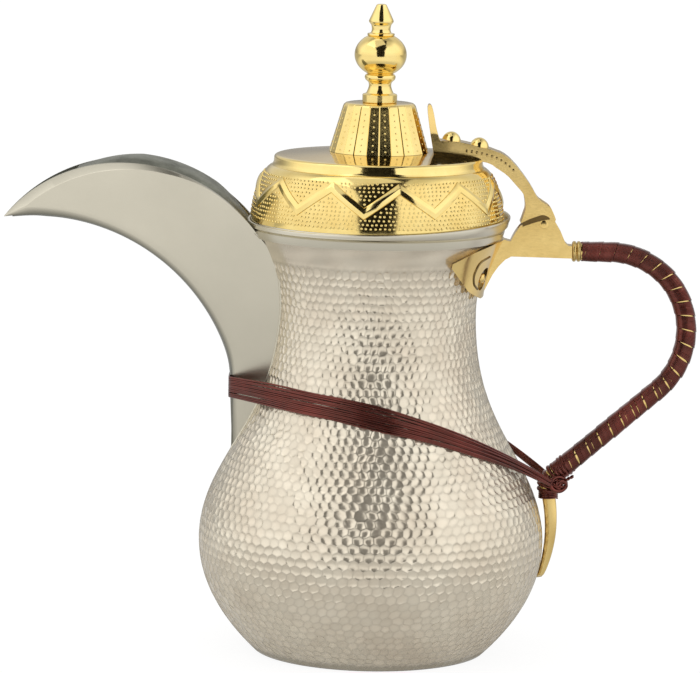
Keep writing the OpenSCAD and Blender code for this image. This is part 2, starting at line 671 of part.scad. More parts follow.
module stud_washer() color(gold) translate([0, 0, crown_z - lid_t - seam - washer_t]) difference() {
    cylinder(r = stud_d * 1.5, h = washer_t);
    translate([0, 0, -1]) cylinder(r = stud_d / 2 + seam, h = washer_t + 2);
}

module stud_nut() color(gold) translate([0, 0, crown_z - lid_t - washer_t - nut_t - 2 * seam]) difference() {
    cylinder(r = stud_d, h = nut_t, $fn = 6);
    translate([0, 0, -1]) cylinder(r = stud_d / 2 + seam, h = nut_t + 2);
}

// The arm's outline: its sole on the cap, the neck down to the hinge, the bell, the back and the leaf
arm_heel_x = tower_foot_r + 2.2;
function on_cap(x, up) = [x, cap_top(x) + up];
arm_sole = [on_cap(arm_heel_x, seam), on_cap(cap_r - 0.8, seam)];
arm_inner = shifted([[-24.6, 27.4], [-19.3, 22.6], [-15.1, 17.8], [-11, 12.8], [-8.9, 9], [-9.5, 5.2], [-11, 0.6]], pin_at);
arm_bell = shifted([[-11, 0.6], [-7, 2.6], [-3.4, 4], [-0.8, 4.7], [1.8, 3.8], [4.2, 1.2]], pin_at);
arm_outer = shifted([[4.2, 1.2], [5.2, 2.9], [2.7, 7.9], [-0.3, 10.2], [-3.3, 12.5], [-6.8, 17.9], [-16.3, 29.3],
    [-23, 34.2]], pin_at);
arm_back = [on_cap(cap_r - 1.2, arm_h), on_cap(tower_foot_r + 5, arm_h)];
leaf_h = 16;
leaf_top = crown_z + arm_h + leaf_h;
arm_leaf = smooth([
    [tower_foot_r + 5, cap_top(tower_foot_r + 5) + arm_h], [tower_foot_r + 3.4, leaf_top - 11],
    [tower_foot_r + 2, leaf_top - 4], [tower_foot_r + 0.6, leaf_top], [tower_foot_r - 1, leaf_top - 1],
    [tower_foot_r + 0.2, leaf_top - 11], on_cap(arm_heel_x, seam)], 3);

// What the arm leaves open between its side lips, so that the lid can swing back
module swing_sector() polygon(concat([[0, 0]], [for (k = [0:6]) let (a = swing_room + k / 6 * (-40 - swing_room))
    1.5 * leaf_r * [cos(a), sin(a)]]));

module lid_arm() color(gold) difference() {
    union() {
        difference() {
            plate(arm_w) polygon(concat(
                arm_sole, smooth(concat([arm_sole[1]], arm_inner), 3), smooth(arm_bell, 3),
                smooth(concat(arm_outer, [arm_back[0]]), 3), arm_back, arm_leaf));
            // The two gaps that the bracket's cheeks turn in
            for (side = [-1, 1]) translate([0, side * (tongue_t + bracket_t + 2 * leaf_play) / 4, 0])
                plate((bracket_t - tongue_t + 2 * leaf_play) / 2) translate(pin_at) circle(leaf_r);
            plate(bracket_t + 2 * leaf_play) translate(pin_at) swing_sector();
        }
        plate(tongue_t) translate(pin_at) {
            circle(tongue_r);
            difference() {
                polygon([[-tongue_r, 0], [-tongue_r - 3, 10], [1, 9], [tongue_r * 0.8, tongue_r * 0.6]]);
                swing_sector();
            }
        }
    }
    plate(arm_w * 2) translate(pin_at) circle(d = pin_d + 2 * pin_play);
    for (x = arm_rivet_x) arm_rivet_place(x) cylinder(r = arm_shank_r + seam, h = 30, center = true);
}

module arm_rivets() color(gold)
    for (x = arm_rivet_x) arm_rivet_place(x) translate([0, 0, arm_h + 3 * seam])
        rivet(arm_rivet_d, 3.2, arm_shank_r, arm_h + lid_t + 8 * seam, 1.9, 0.8);

body_shell();
base_plate();
rim_band();
spout_near_wall();
spout_far_wall();
spout_keel();
spout_cover();
hinge_bracket();
bracket_rivets();
hinge_pin();
handle_bar();
grip_ferrule();
grip_winding();
tie_wires();
tie_binding();
lid_skirt();
lid_cap();
lid_collar();
lid_tower();
finial();
finial_stud();
stud_washer();
stud_nut();
lid_arm();
arm_rivets();
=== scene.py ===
"""Looks of a hammered dallah coffee pot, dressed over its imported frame."""

import math
from types import SimpleNamespace

import bmesh
import bpy
import numpy as np
from mathutils import Matrix, Vector, bvhtree, geometry


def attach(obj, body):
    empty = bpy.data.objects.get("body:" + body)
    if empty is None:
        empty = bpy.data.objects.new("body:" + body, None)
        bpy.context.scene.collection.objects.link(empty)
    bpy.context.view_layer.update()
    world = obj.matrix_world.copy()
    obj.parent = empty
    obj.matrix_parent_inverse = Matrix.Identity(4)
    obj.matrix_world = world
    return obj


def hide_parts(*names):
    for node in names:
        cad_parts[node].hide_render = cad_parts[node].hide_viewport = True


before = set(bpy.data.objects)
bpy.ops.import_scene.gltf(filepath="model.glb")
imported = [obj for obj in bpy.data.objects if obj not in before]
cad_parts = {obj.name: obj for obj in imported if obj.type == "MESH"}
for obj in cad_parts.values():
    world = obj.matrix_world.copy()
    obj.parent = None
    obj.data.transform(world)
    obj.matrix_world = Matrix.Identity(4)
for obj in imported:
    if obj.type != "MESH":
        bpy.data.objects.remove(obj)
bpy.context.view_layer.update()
MM = 0.001
TAU = 2 * math.pi

bl_info = {
    "name": "Dallah coffee pot",
    "version": (1, 0, 0),
    "blender": (4, 5, 0),
    "location": "View3D > Sidebar > Dallah",
    "description": "Hammered pot with a crescent spout, a gilt hinged lid and a wire-bound handle",
    "category": "Object",
}


def linear(code):
    """Linear colour of an sRGB hex value."""
    parts = [int(code[k:k + 2], 16) / 255 for k in (1, 3, 5)]
    return [c / 12.92 if c <= 0.04045 else ((c + 0.055) / 1.055) ** 2.4 for c in parts]


def length(label, note, mm):
    """A size that the sidebar shows as a length."""
    return bpy.props.FloatProperty(name=label, description=note, default=mm * MM, unit="LENGTH", precision=5)


def count(label, note, number):
    """A whole number of like pieces."""
    return bpy.props.IntProperty(name=label, description=note, default=number, min=1)


def tone(label, note, code):
    """A colour of a finish."""
    return bpy.props.FloatVectorProperty(
        name=label, description=note, default=linear(code), size=3, subtype="COLOR", min=0, max=1)


class BodySizes(bpy.types.PropertyGroup):
    """Sizes of the beaten body, its base and its mouth."""
    base_r: length("Base radius", "Radius of the flat base", 54)
    belly_r: length("Belly radius", "Largest radius of the belly", 80)
    belly_z: length("Belly height", "Height of the largest radius", 52)
    waist_r: length("Waist radius", "Smallest radius of the neck", 46.5)
    waist_z: length("Waist height", "Height of the smallest radius", 158)
    mouth_r: length("Mouth radius", "Radius of the neck's top edge", 57.5)
    neck_top: length("Neck top", "Height of the neck's top edge", 196)
    wall: length("Sheet", "Thickness of the body's sheet", 1.4)
    plain_from: length("Plain from", "Height where the hammering ends", 184)
    mark_pitch: length("Mark pitch", "Distance of hammer marks along a row", 4.5)
    row_pitch: length("Row pitch", "Distance of the rows of hammer marks", 3.85)
    mark_depth: length("Mark depth", "Depth of a hammer mark", 0.44)
    lip_r: length("Lip radius", "Outer radius of the mouth's lip", 61.3)
    lip_top: length("Lip top", "Height of the lip where it is highest", 203.9)
    ledge_z: length("Ledge", "Height of the ledge that carries the lid", 200.2)


class SpoutSizes(bpy.types.PropertyGroup):
    """Sizes of the crescent spout."""
    reach: length("Reach", "Distance of the tip from the pot's axis", 172)
    tip_z: length("Tip height", "Height of the tip", 199)
    top_arc: length("Upper arc", "Radius of the upper edge", 71.5)
    under_arc: length("Lower arc", "Radius of the lower edge", 93.3)
    keel_top: length("Keel top", "Height where the lower edge turns down", 132)
    keel_foot: length("Keel foot", "Height of the keel's foot on the belly", 93)
    tip_half: length("Tip half-width", "Half of the width at the tip", 2.5)
    sheet: length("Sheet", "Thickness of the spout's sheets", 1.3)
    cover_from: length("Cover start", "Distance of the cover's outer end from the pot's axis", 139)
    bevel: length("Bevel", "Width of the bevelled strip along the upper edge", 3.7)


class LidSizes(bpy.types.PropertyGroup):
    """Sizes of the lid, its ornament and its finial."""
    skirt_z: length("Skirt foot", "Height of the skirt's lower edge", 200.3)
    skirt_r: length("Skirt radius", "Radius of the skirt's lower edge", 58.3)
    skirt_h: length("Skirt height", "Height of the bulging skirt", 25.6)
    cap_r: length("Cap radius", "Radius of the cap", 47.7)
    cap_z: length("Cap foot", "Height of the cap's lower edge", 225.95)
    cap_edge: length("Cap edge", "Height of the cap's upper edge", 230.4)
    crown_z: length("Crown", "Height of the cap's flat middle", 232.35)
    sheet: length("Sheet", "Thickness of the lid's sheet", 1.2)
    zigzag_low: length("Zigzag foot", "Height of the zigzag's lower turns", 209.6)
    zigzag_high: length("Zigzag top", "Height of the zigzag's upper turns", 220.6)
    ribbon: length("Ribbon", "Width of the zigzag's ribbon", 4.3)
    ribbon_up: length("Ribbon height", "How far the ribbon stands up", 0.95)
    zigzags: count("Zigzags", "Turns of the zigzag round the skirt", 11)
    stud_pitch: length("Stipple pitch", "Distance of the stippled studs", 2.1)
    stud_r: length("Stipple radius", "Radius of a stippled stud", 0.58)
    tower_z: length("Tower foot", "Height of the tower's foot", 232.4)
    tower_top: length("Tower top", "Height of the tower's top", 254.8)
    tower_foot_r: length("Tower foot radius", "Radius of the tower's foot", 23)
    tower_top_r: length("Tower top radius", "Radius of the tower's top", 16.4)
    panels: count("Panels", "Flat panels round the tower", 24)
    finial_z: length("Finial foot", "Height of the finial's foot", 254.85)


class HandleSizes(bpy.types.PropertyGroup):
    """Sizes of the handle's bar and winding, the hinge's edges and the tie."""
    bar_half: length("Bar half-width", "Half of the bar's thickness", 3.4)
    bar_x: length("Bar start", "Where the bar leaves its bracket", 90.05)
    bar_z: length("Bar height", "Height of the bar's upper run", 187.8)
    bend_x: length("Bend", "Where the upper bend starts", 107.9)
    top_bend: length("Upper bend", "Radius of the upper bend", 36.1)
    low_bend: length("Lower bend", "Radius of the lower bend", 37)
    end_z: length("Turn height", "Height where the bar turns down beside the belly", 83.5)
    stand_off: length("Turn stand-off", "Distance of that turn from the belly", 14)
    tail_tip: length("Tail tip", "Height of the tail's tip", 34.5)
    turns: count("Turns", "Turns of the grip's winding", 24)
    strands: count("Strands", "Wires side by side in the winding", 11)
    strand_r: length("Strand radius", "Radius of a wire of the winding", 0.33)
    wound_half: length("Wound half-width", "Half of the grip's thickness over its winding", 4.45)
    casting_edge: length("Casting edge", "Rounding of the hinge's cast edges", 0.6)
    tie_wires: count("Tie wires", "Wires in the tie", 13)
    tie_r: length("Tie wire radius", "Radius of a wire of the tie", 0.47)
    tie_keel_z: length("Tie at the keel", "Height of the tie at the spout's keel", 122.4)
    tie_bar_z: length("Tie at the bar", "Height of the tie at the handle's bar", 79.8)


class FinishTones(bpy.types.PropertyGroup):
    """Colours of the finishes."""
    silver: tone("Silver", "Silver plate on the beaten body", "#EBE1CD")
    silver_dull: tone("Dull silver", "Silver plate that has warmed with age", "#DFD2BD")
    planished: tone("Planished silver", "Smooth silver plate of spout and mouth", "#D7D1BF")
    # Grey film on the silver, which is also painted shade on the ridges between marks, round the foot, and on
    # the spout's lower edges and keel
    silver_deep: tone("Silver edge", "Grey film left where the plate is not rubbed", "#5C5D53")
    tarnish: tone("Tarnish", "Darkened silver of the spout's cover", "#8E8F82")
    gilt: tone("Gilt", "Gilding of the lid", "#F6DE94")
    gilt_deep: tone("Gilt ground", "Brown gilding between the stippled studs", "#9A6A2A")
    gilt_dull: tone("Dull gilt", "Gilding rubbed thin", "#EFD283")
    brass: tone("Brass", "Cast yellow brass", "#ECCF89")
    brass_dull: tone("Dull brass", "Brass that has browned with age", "#E0C078")
    brass_deep: tone("Brass hollows", "Brown polish left in the hollows of the brass", "#3A2412")
    wire: tone("Wire", "Darkened copper wire", "#74342A")
    # Brown in the brass: polish on the grip's beads, and painted shade round the hinge's rivets, under the
    # arm's arch, along the saddle and in the punch marks
    wire_dark: tone("Dark wire", "Copper wire where it has gone brown", "#54271C")


def sizes(context, name):
    """A group's lengths in millimetres, and its counts and colours as they are."""
    group = getattr(context.scene, "dallah_" + name)
    found = SimpleNamespace()
    for prop in group.bl_rna.properties:
        if prop.identifier in ("rna_type", "name"):
            continue
        value = getattr(group, prop.identifier)
        setattr(found, prop.identifier, value / MM if prop.unit == "LENGTH" else value)
    return found


def add(tree, kind, links=None, **settings):
    """Adds a node; links holds, by input, a value, a socket or a node whose first output is meant."""
    node = tree.nodes.new(kind)
    for key, value in settings.items():
        setattr(node, key, value)
    for key, value in (links or {}).items():
        if isinstance(value, bpy.types.Node):
            value = value.outputs[0]
        if isinstance(value, bpy.types.NodeSocket):
            tree.links.new(value, node.inputs[key])
        else:
            node.inputs[key].default_value = value
    return node


def blank(name):
    """A new material without nodes, and its tree."""
    material = bpy.data.materials.new(name)
    material.use_nodes = True
    material.node_tree.nodes.clear()
    return material, material.node_tree


def maths(tree, operation, a, b):
    """Adds a node that works out a and b."""
    return add(tree, "ShaderNodeMath", {0: a, 1: b}, operation=operation)


def eased(tree, value, low, high, start, stop):
    """Adds a node that leads softly from start to stop while a value goes from low to high."""
    return add(tree, "ShaderNodeMapRange", {
        "Value": value, "From Min": low, "From Max": high, "To Min": start, "To Max": stop},
        interpolation_type="SMOOTHSTEP")


def worked_metal(name, bright, dull, rough, stain, grain, depth, stretch=(1, 1, 1), film=None, coat=0.0,
                 metal=1.0):
    """Metal whose tone and gloss drift over stain mm, with a grain of grain by depth mm drawn out by stretch.

    film is the strength and colour of the darkening in the places that the piece marks as hollow: film left
    there, and painted shade."""
    ready = bpy.data.materials.get(name)
    if ready:
        return ready
    material, tree = blank(name)
    where = add(tree, "ShaderNodeTexCoord").outputs["Object"]
    drawn = add(tree, "ShaderNodeMapping", {"Vector": where, "Scale": stretch})
    cloud = add(tree, "ShaderNodeTexNoise", {
        "Vector": where, "Scale": 1000 / stain, "Detail": 5.0, "Roughness": 0.6})
    fine = add(tree, "ShaderNodeTexNoise", {"Vector": drawn, "Scale": 1000 / grain, "Detail": 3.0})
    worn = add(tree, "ShaderNodeMapRange", {"Value": cloud, "From Min": 0.36, "From Max": 0.68})
    colour = add(tree, "ShaderNodeMix", {0: worn, 6: (*bright, 1), 7: (*dull, 1)}, data_type="RGBA")
    if film:
        low = add(tree, "ShaderNodeAttribute", attribute_name="hollow")
        held = maths(tree, "MULTIPLY", low.outputs["Fac"], film[0])
        colour = add(tree, "ShaderNodeMix", {
            0: held, 6: colour.outputs[2], 7: (*film[1], 1)}, data_type="RGBA")
    mixed = maths(tree, "MULTIPLY", cloud, fine)
    gloss = add(tree, "ShaderNodeMapRange", {
        "Value": mixed, "From Min": 0.12, "From Max": 0.42, "To Min": rough[0], "To Max": rough[1]})
    raised = add(tree, "ShaderNodeBump", {"Height": fine, "Distance": depth * MM, "Strength": 0.8})
    shader = add(tree, "ShaderNodeBsdfPrincipled", {
        "Base Color": colour.outputs[2], "Metallic": metal, "Roughness": gloss, "Normal": raised,
        "Coat Weight": coat})
    add(tree, "ShaderNodeOutputMaterial", {"Surface": shader})
    return material


def finish(context, name):
    """The finish of that name, made when it is first asked for."""
    t = sizes(context, "tones")
    if name == "beaten silver plate":
        # Silver on beaten sheet: champagne gloss, a little duller in each hollow and darker along the ridges
        # between them as painted shade, blurred by hand polishing
        return worked_metal(name, t.silver, t.silver_dull, (0.14, 0.25), 22, 1.3, 0.05,
                            film=(0.26, t.silver_deep), metal=0.72)
    if name == "polished silver plate":
        # Silver on planished sheet: the same plate without hollows, with faint polishing lines along it; its
        # grey film paints shade on the spout's lower edges and keel, and darkens the bevel
        return worked_metal(name, t.planished, [0.94 * c for c in t.planished], (0.3, 0.34), 45, 0.7, 0.002,
                            stretch=(0.25, 1, 1), film=(0.85, t.silver_deep))
    if name == "tarnished silver plate":
        # Silver that was never polished again: grey-green sulphide film, nearly matt
        return worked_metal(name, t.tarnish, [0.6 * c for c in t.tarnish], (0.4, 0.6), 9, 0.8, 0.01)
    if name == "unpolished silver plate":
        # Silver inside the spout, out of reach of a polishing cloth: matt and grey
        return worked_metal(name, [1.3 * c for c in t.tarnish], t.tarnish, (0.5, 0.7), 9, 0.8, 0.01,
                            metal=0.3)
    if name == "gilt brass":
        # Thin gilding over chased brass: warm mirror gloss, rubbed browner in patches
        return worked_metal(name, t.gilt, t.gilt_dull, (0.07, 0.17), 14, 0.5, 0.003, film=(0.3, t.gilt_deep))
    if name == "cast yellow brass":
        # Sand-cast brass filed by hand: fine file lines, a brown film on the grip's beads, and painted shade
        # where the hinge's pieces mark it
        return worked_metal(name, t.brass, t.brass_dull, (0.12, 0.22), 30, 0.45, 0.004,
                            stretch=(0.3, 1, 1), film=(0.85, t.brass_deep))
    if name == "darkened copper wire":
        # Drawn copper wire with an oxide film under wax: red-brown, glossy on each wire's back
        return worked_metal(name, t.wire, t.wire_dark, (0.14, 0.26), 18, 0.6, 0.004, coat=0.5)
    raise ValueError("there is no finish called " + name)


def grid(rows, cols, ring=True, loop=False):
    """Quads between points kept row by row; ring closes each row, loop joins the last row to the first."""
    faces = []
    for i in range(rows if loop else rows - 1):
        a = i * cols
        b = (i + 1) % rows * cols
        for j in range(cols if ring else cols - 1):
            k = (j + 1) % cols
            faces.append((a + j, a + k, b + k, b + j))
    return faces


def slab(outer, inner):
    """Closed sheet between two grids of points of one shape."""
    rows, cols = outer.shape[:2]
    n = rows * cols
    faces = grid(rows, cols, ring=False)
    faces += [tuple(n + k for k in reversed(face)) for face in faces]
    edge = list(range(cols)) + [i * cols + cols - 1 for i in range(1, rows)]
    edge += [(rows - 1) * cols + j for j in range(cols - 2, -1, -1)]
    edge += [i * cols for i in range(rows - 2, 0, -1)]
    for a, b in zip(edge, edge[1:] + edge[:1]):
        faces.append((b, a, n + a, n + b))
    return np.concatenate([outer.reshape(-1, 3), inner.reshape(-1, 3)]), faces


def barred(rings):
    """Closed bar through rings of points."""
    rows, cols = rings.shape[:2]
    faces = grid(rows, cols)
    faces.append(tuple(range(cols))[::-1])
    faces.append(tuple(range((rows - 1) * cols, rows * cols)))
    return rings.reshape(-1, 3), faces


def round_axis(r, angle, z):
    """Points at radius r, angle and height z about the pot's axis."""
    return np.stack(np.broadcast_arrays(r * np.cos(angle), r * np.sin(angle), z), -1)


def turned(profile, sides=128, loop=True):
    """A profile of (r, z) turned round the pot's axis; loop joins its end to its start."""
    r, z = np.asarray(profile, float).T
    points = round_axis(r[:, None], np.arange(sides) * TAU / sides, z[:, None])
    return points.reshape(-1, 3), grid(len(r), sides, loop=loop)


def run_along(line):
    """How far along a line each of its points lies."""
    return np.concatenate([[0], np.cumsum(np.linalg.norm(np.diff(line, axis=0), axis=1))])


def spaced(line, share):
    """Points of a line at shares of its length."""
    run = run_along(line)
    return np.stack([np.interp(np.asarray(share) * run[-1], run, part) for part in line.T], -1)


def rounded(points, steps=4):
    """The same line through its points, drawn as a smooth curve."""
    p = np.asarray(points, float)
    ends = np.concatenate([[2 * p[0] - p[1]], p, [2 * p[-1] - p[-2]]])
    found = []
    for a, b, c, d in zip(ends, ends[1:], ends[2:], ends[3:]):
        for t in np.arange(steps) / steps:
            found.append(b + 0.5 * t * (c - a + t * (2 * a - 5 * b + 4 * c - d + t * (3 * (b - c) + d - a))))
    return np.array(found + [p[-1]])


def at_side(line, y):
    """Points of a line (x, z) of the side view, moved out to y."""
    return np.stack(np.broadcast_arrays(line[:, 0], y, line[:, 1]), -1)


def on_sides(line, y):
    """The same on both sides of the pot's middle plane, the near side first."""
    return [at_side(line, side * y) for side in (-1, 1)]


def vertices(mesh):
    """A mesh's points in millimetres."""
    return np.array([v.co for v in mesh.vertices]) / MM


def placed(name, data):
    """A new object in the scene, at its origin."""
    item = bpy.data.objects.new(name, data)
    bpy.context.scene.collection.objects.link(item)
    return item


def set_down(mesh, material, body, stands_for="", soft=40):
    """Shades a mesh, gives it its finish and sets it on its body as a piece."""
    if soft is not None:
        mesh.polygons.foreach_set("use_smooth", np.ones(len(mesh.polygons), bool))
        mesh.set_sharp_from_angle(angle=math.radians(soft))
    mesh.materials.clear()
    mesh.materials.append(material)
    item = placed(mesh.name, mesh)
    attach(item, body)
    if stands_for:
        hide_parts(stands_for)
    return item


def piece(name, shape, material, body, stands_for="", soft=40, merge=0.0):
    """A closed piece from points in millimetres and faces; merge closes poles."""
    points, faces = shape
    mesh = bpy.data.meshes.new(name)
    mesh.from_pydata((np.asarray(points, float) * MM).tolist(), [], faces)
    work = bmesh.new()
    work.from_mesh(mesh)
    if merge:
        bmesh.ops.remove_doubles(work, verts=work.verts, dist=merge * MM)
    if work.calc_volume(signed=True) < 0:
        bmesh.ops.reverse_faces(work, faces=work.faces)
    work.to_mesh(mesh)
    work.free()
    return set_down(mesh, material, body, stands_for, soft)


def marked(item, held):
    """Keeps, on a piece's points, how strongly the film darkens them, for film that rubbing leaves and for
    painted shade.
    """
    layer = item.data.attributes.new("hollow", "FLOAT", "POINT")
    layer.data.foreach_set("value", np.full(len(item.data.vertices), held, np.float32))


def together(*shapes):
    """Several closed shapes as one list of points and faces."""
    points = []
    faces = []
    start = 0
    for more, corners in shapes:
        points.append(np.asarray(more, float))
        faces += [tuple(start + k for k in face) for face in corners]
        start += len(more)
    return np.concatenate(points), faces


def node_tree(name, inputs, build):
    """A Geometry Nodes tree with the named inputs; build gets tree and inputs and returns the mesh."""
    ready = bpy.data.node_groups.get(name)
    if ready:
        return ready
    tree = bpy.data.node_groups.new(name, "GeometryNodeTree")
    for label, kind in [("Carrier", "Geometry"), *inputs, ("Finish", "Material")]:
        tree.interface.new_socket(label, in_out="INPUT", socket_type="NodeSocket" + kind)
    tree.interface.new_socket("Piece", in_out="OUTPUT", socket_type="NodeSocketGeometry")
    given = add(tree, "NodeGroupInput").outputs
    whole = add(tree, "GeometryNodeRealizeInstances", {"Geometry": build(tree, given)})
    done = add(tree, "GeometryNodeSetMaterial", {"Geometry": whole, "Material": given["Finish"]})
    add(tree, "NodeGroupOutput", {"Piece": done})
    return tree


def wires_along(tree, given):
    """Round wires along the carrier's edges."""
    route = add(tree, "GeometryNodeMeshToCurve", {"Mesh": given["Carrier"]})
    ring = add(tree, "GeometryNodeCurvePrimitiveCircle", {
        "Resolution": given["Sides"], "Radius": given["Wire radius"]}, mode="RADIUS")
    return add(tree, "GeometryNodeCurveToMesh", {"Curve": route, "Profile Curve": ring, "Fill Caps": True})


def studs_on(tree, given):
    """A flat round stud on each of the carrier's points, square to its surface."""
    stud = add(tree, "GeometryNodeMeshUVSphere", {"Segments": 8, "Rings": 5, "Radius": given["Stud radius"]})
    facing = add(tree, "GeometryNodeInputNamedAttribute", {"Name": "facing"}, data_type="FLOAT_VECTOR")
    turn = add(tree, "FunctionNodeAlignRotationToVector", {"Vector": facing}, axis="Z")
    flat = add(tree, "ShaderNodeCombineXYZ", {0: 1.0, 1: 1.0, 2: given["Flatness"]})
    return add(tree, "GeometryNodeInstanceOnPoints", {
        "Points": given["Carrier"], "Instance": stud, "Rotation": turn, "Scale": flat})


WIRES = ("wires along paths", [("Wire radius", "Float"), ("Sides", "Int")], wires_along)
STUDS = ("studs on a surface", [("Stud radius", "Float"), ("Flatness", "Float")], studs_on)


def made(holder, name):
    """The mesh that a holder's modifiers make; the holder and its own mesh are taken away."""
    source = holder.data
    ready = holder.evaluated_get(bpy.context.evaluated_depsgraph_get())
    mesh = bpy.data.meshes.new_from_object(ready)
    if not mesh.polygons:
        raise RuntimeError(name + " came out empty")
    bpy.data.objects.remove(holder)
    bpy.data.meshes.remove(source)
    mesh.name = name
    return mesh


def grown(name, carrier, kind, values, material, body, stands_for="", soft=40):
    """Runs a tree on a carrier mesh and keeps the result as a plain piece."""
    tree = node_tree(*kind)
    holder = placed(name + "_carrier", carrier)
    step = holder.modifiers.new("grown", "NODES")
    step.node_group = tree
    ids = {s.name: s.identifier for s in tree.interface.items_tree if s.in_out == "INPUT"}
    for key, value in {**values, "Finish": material}.items():
        step[ids[key]] = value
    return set_down(made(holder, name), material, body, stands_for, soft)


def wires(name, paths, radius, sides, material, stands_for="", closed=False):
    """Wires on the pot, along paths of points in millimetres."""
    edges = []
    start = 0
    for path in paths:
        n = len(path)
        edges += [(start + k, start + k + 1) for k in range(n - 1)]
        if closed:
            edges.append((start + n - 1, start))
        start += n
    carrier = bpy.data.meshes.new(name)
    carrier.from_pydata((np.concatenate(paths) * MM).tolist(), edges, [])
    values = {"Wire radius": radius * MM, "Sides": sides}
    return grown(name, carrier, WIRES, values, material, "pot", stands_for, 60)


def studs(name, points, facing, radius, flatness, material):
    """Studs on the lid, on points in millimetres that face along the given directions."""
    carrier = bpy.data.meshes.new(name)
    carrier.from_pydata((points * MM).tolist(), [], [])
    layer = carrier.attributes.new("facing", "FLOAT_VECTOR", "POINT")
    layer.data.foreach_set("vector", np.asarray(facing, np.float32).ravel())
    return grown(name, carrier, STUDS, {"Stud radius": radius * MM, "Flatness": flatness}, material, "lid")


def softened(name, node, edge, material, body, shape=None):
    """A copy of a CAD casting with its edges rounded over; shape may rework the merged copy first."""
    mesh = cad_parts[node].data.copy()
    work = bmesh.new()
    work.from_mesh(mesh)
    bmesh.ops.remove_doubles(work, verts=work.verts, dist=2e-6)
    bmesh.ops.dissolve_limit(work, angle_limit=math.radians(1), verts=work.verts, edges=work.edges)
    if shape:
        shape(work)
    work.to_mesh(mesh)
    work.free()
    mesh.polygons.foreach_set("use_smooth", np.ones(len(mesh.polygons), bool))
    holder = placed(name + "_blank", mesh)
    over = holder.modifiers.new("edges", "BEVEL")
    over.width = edge * MM
    over.segments = 2
    over.limit_method = "ANGLE"
    over.angle_limit = math.radians(30)
    even = holder.modifiers.new("flats", "WEIGHTED_NORMAL")
    even.weight = 90
    return set_down(made(holder, name), material, body, node, None)


def body_r(b, z):
    """Radius of the body's outside at height z."""
    z = np.asarray(z, float)
    low = b.belly_r - (b.belly_r - b.base_r) * (np.clip(b.belly_z - z, 0, None) / b.belly_z) ** 2.1
    rise = 1.342 * np.clip(z - b.belly_z, 0, None) / np.clip(b.waist_z - z, 1e-6, None)
    mid = b.waist_r + (b.belly_r - b.waist_r) / (1 + rise ** 1.74)
    flare = np.clip(z - b.waist_z, 0, None) / (b.neck_top - b.waist_z)
    top = b.waist_r + (b.mouth_r - b.waist_r) * flare ** 2
    return np.where(z <= b.belly_z, low, np.where(z < b.waist_z, mid, top))


def wrapped(u):
    """An angle brought between minus and plus half a turn."""
    return (u + math.pi) % TAU - math.pi


def mark_rows(b, rng, z, s, v):
    """Places of the hammer marks, in even rows with a hand's wander, and the size of a plain end row."""
    edge = 240
    plain_s = np.interp(b.plain_from, z, s)
    rows = int(round(plain_s / b.row_pitch))
    us = [np.arange(edge) * TAU / edge - math.pi]
    vs = [np.zeros(edge)]
    shift = 0.0
    for i in range(1, rows):
        at = plain_s * i / rows
        r = float(body_r(b, np.interp(at, s, z)))
        n = int(round(TAU * r / (b.mark_pitch * (r / 70) ** 0.6)))
        shift += 0.5 + rng.uniform(-0.3, 0.3)
        us.append(wrapped((np.arange(n) + shift) * TAU / n + rng.normal(0, 0.42, n) / r))
        vs.append(np.full(n, np.interp(at, s, v)) + rng.normal(0, 0.34, n) / r)
    us.append(us[0])
    vs.append(np.full(edge, np.interp(plain_s, s, v)))
    return np.concatenate(us), np.concatenate(vs), edge


def cells(u, v):
    """Triangles between places on a sheet that closes on itself in u: their middles and their corners."""
    near = 0.25
    ids = np.arange(len(u))
    over, below = u > math.pi - near, u < near - math.pi
    wide_u = np.concatenate([u, u[over] - TAU, u[below] + TAU])
    base = np.concatenate([ids, ids[over], ids[below]])
    wide_v = v[base]
    laid = geometry.delaunay_2d_cdt(np.stack([wide_u, wide_v], -1).tolist(), [], [], 0, 1e-9)
    first = np.array([k[0] for k in laid[3]])
    tris = first[np.array(laid[2])]
    mid_u = wide_u[tris].mean(1)
    keep = (mid_u >= -math.pi) & (mid_u < math.pi)
    return mid_u[keep], wide_v[tris[keep]].mean(1), base[tris[keep]]


def plain_rings(b, u):
    """Rings up the plain neck, with a trace of the mallet, and down the wall inside, and their stains."""
    wave = 0.1
    rings = [(body_r(b, z), z, wave) for z in np.linspace(b.plain_from, b.neck_top, 9)[1:]]
    rings += [(body_r(b, z) - b.wall, z, 0) for z in np.linspace(b.neck_top, 0, 22)]
    points, stain = [], []
    for r, z, wave in rings:
        stain.append(0.6 + 0.4 * np.sin(5 * u + z / 2.6) * np.sin(11 * u - z / 1.9))
        r = r + wave * (np.sin(9 * u + z / 3) + 0.7 * np.sin(23 * u - z / 2))
        points.append(round_axis(r, u, z))
    return points, stain


